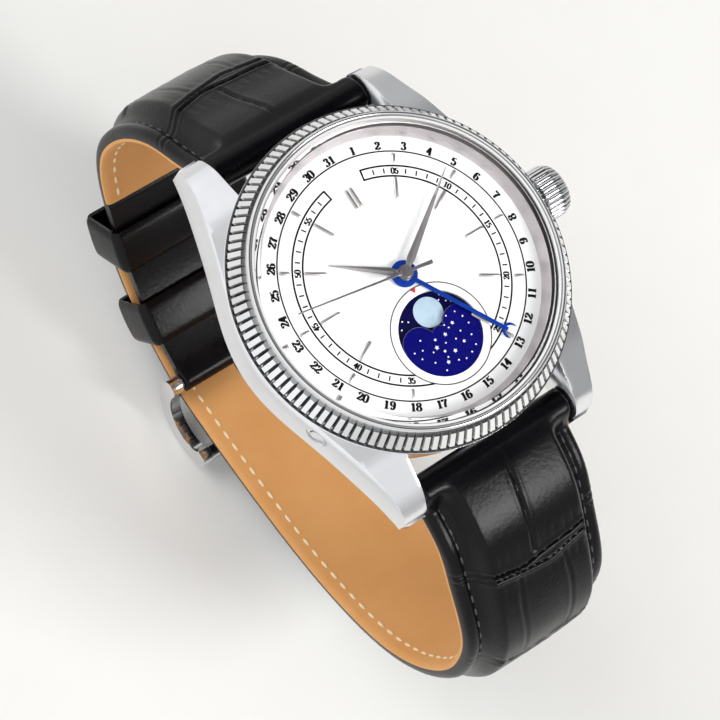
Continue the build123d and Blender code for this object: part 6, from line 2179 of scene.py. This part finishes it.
# Studio
@dataclass
class Studio:
    """Pale floor, soft lights and the camera of the reference view."""

    place: Point = (-0.130546, -0.027886, 0.308874)
    right: Point = (0.7916562, -0.54375517, 0.27858712)
    up: Point = (0.48401539, 0.83642499, 0.25714265)
    back: Point = (-0.37283987, -0.06872811, 0.9253469)
    lens: float = 145.33
    sensor: float = 36.0
    near_clip: float = 0.01
    key_spot: Point = (0.5, -0.4, 0.35)
    key_size: float = 0.45
    side_spot: Point = (0.3, 0.45, -0.12)
    side_size: float = 0.21
    power: float = 1.9
    floor_gap: float = 0.3
    floor_reach: float = 900.0
    tent_colour: str = "F4F5F6"
    bright_way: Point = (-0.9, 0.35, 0.25)
    bright_limits: Point = (-0.9, 0.7)
    patch_far: float = 0.72
    patch_near: float = 0.95
    patch_light: float = 0.12
    tent_dim: float = 0.45
    tent_bright: float = 1.3

    def build(self) -> None:
        """Make the floor, the lights and the camera."""
        self.floor()
        self.camera()
        self.light("key_softbox", self.key_spot, self.key_size, mirrored=False)
        self.light("side_softbox", self.side_spot, self.side_size)
        self.surround()
        bpy.context.scene.view_settings.view_transform = "Standard"

    def surround(self) -> None:
        """Hang a light tent round the watch, dark where the dial would mirror it to the camera."""
        world = bpy.data.worlds.new("studio")
        bpy.context.scene.world = world
        world.use_nodes = True
        tree = world.node_tree
        ground = tree.nodes["Background"]
        way = add(tree, "ShaderNodeTexCoord").outputs["Generated"]
        back = Vector(self.back)
        mirror = Vector((-back.x, -back.y, back.z))
        patch = self.zone(tree, way, mirror, self.patch_far, self.patch_near, 1.0, self.patch_light)
        side = self.zone(tree, way, Vector(self.bright_way), *self.bright_limits, self.tent_dim,
                         self.tent_bright)
        power = add(tree, "ShaderNodeMath", {0: patch, 1: side}, operation="MULTIPLY")
        ground.inputs["Color"].default_value = linear(self.tent_colour)
        tree.links.new(power.outputs[0], ground.inputs["Strength"])

    @staticmethod
    def zone(tree: Tree, way: Socket, axis: Vector, far: float, near: float,
             outside: float, inside: float) -> Socket:
        """Return a strength that changes smoothly with the angle to a direction.

        Args:
            tree: Node tree of the world.
            way: Socket with the looked-at direction.
            axis: Direction at the middle of the zone.
            far: Cosine of the angle where the zone begins.
            near: Cosine of the angle from which on it is full.
            outside: Strength away from the zone.
            inside: Strength inside it.

        Returns:
            Socket with the strength.
        """
        lit = add(tree, "ShaderNodeVectorMath", {0: way, 1: axis.normalized()}, operation="DOT_PRODUCT")
        limits = {"Value": lit.outputs["Value"], "From Min": far, "From Max": near, "To Min": outside,
                  "To Max": inside}
        return add(tree, "ShaderNodeMapRange", limits, interpolation_type="SMOOTHSTEP").outputs["Result"]

    def floor(self) -> None:
        """Lay the pale floor under the strap."""
        low, reach = cad_box[0].z / MM - self.floor_gap, self.floor_reach
        points = [(-reach, -reach, low), (reach, -reach, low), (reach, reach, low), (-reach, reach, low)]
        ground = solid("studio_floor", points, [(0, 1, 2, 3)])
        dressed(ground, STUDIO_PAPER)

    def light(self, name: str, spot: Point, size: float, mirrored: bool = True) -> None:
        """Hang a square softbox that faces the watch.

        Args:
            name: Its name.
            spot: Metres towards the camera, to its right and up, from the watch.
            size: Its side in metres.
            mirrored: Whether glass and polished metal show it.
        """
        place = spot[0] * Vector(self.back) + spot[1] * Vector(self.right) + spot[2] * Vector(self.up)
        lamp = bpy.data.lights.new(name, "AREA")
        lamp.shape = "SQUARE"
        lamp.size = size
        lamp.energy = self.power
        obj = bpy.data.objects.new(name, lamp)
        obj.location = place
        obj.rotation_euler = (-place).to_track_quat("-Z", "Y").to_euler()
        obj.visible_glossy = mirrored
        bpy.context.scene.collection.objects.link(obj)

    def camera(self) -> None:
        """Set the camera at the reference view."""
        data = bpy.data.cameras.new("reference_view")
        data.sensor_width = self.sensor
        data.lens = self.lens
        data.clip_start = self.near_clip
        obj = bpy.data.objects.new("reference_view", data)
        axes = Matrix((self.right, self.up, self.back)).transposed().to_4x4()
        obj.matrix_world = Matrix.Translation(Vector(self.place)) @ axes
        bpy.context.scene.collection.objects.link(obj)
        bpy.context.scene.camera = obj


def write_sizes() -> None:
    """Update the scene's view layer."""
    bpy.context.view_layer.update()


def main() -> None:
    """Build the watch's looks piece by piece."""
    logging.basicConfig(level=logging.INFO, format="%(message)s")
    for part in (Case(), Bezel(), Dial(), MoonWindow(), Hands(), Movement(), Strap(), Studio()):
        part.build()
        LOG.info("%s done", type(part).__name__)
    write_sizes()


if __name__ == "__main__":
    main()
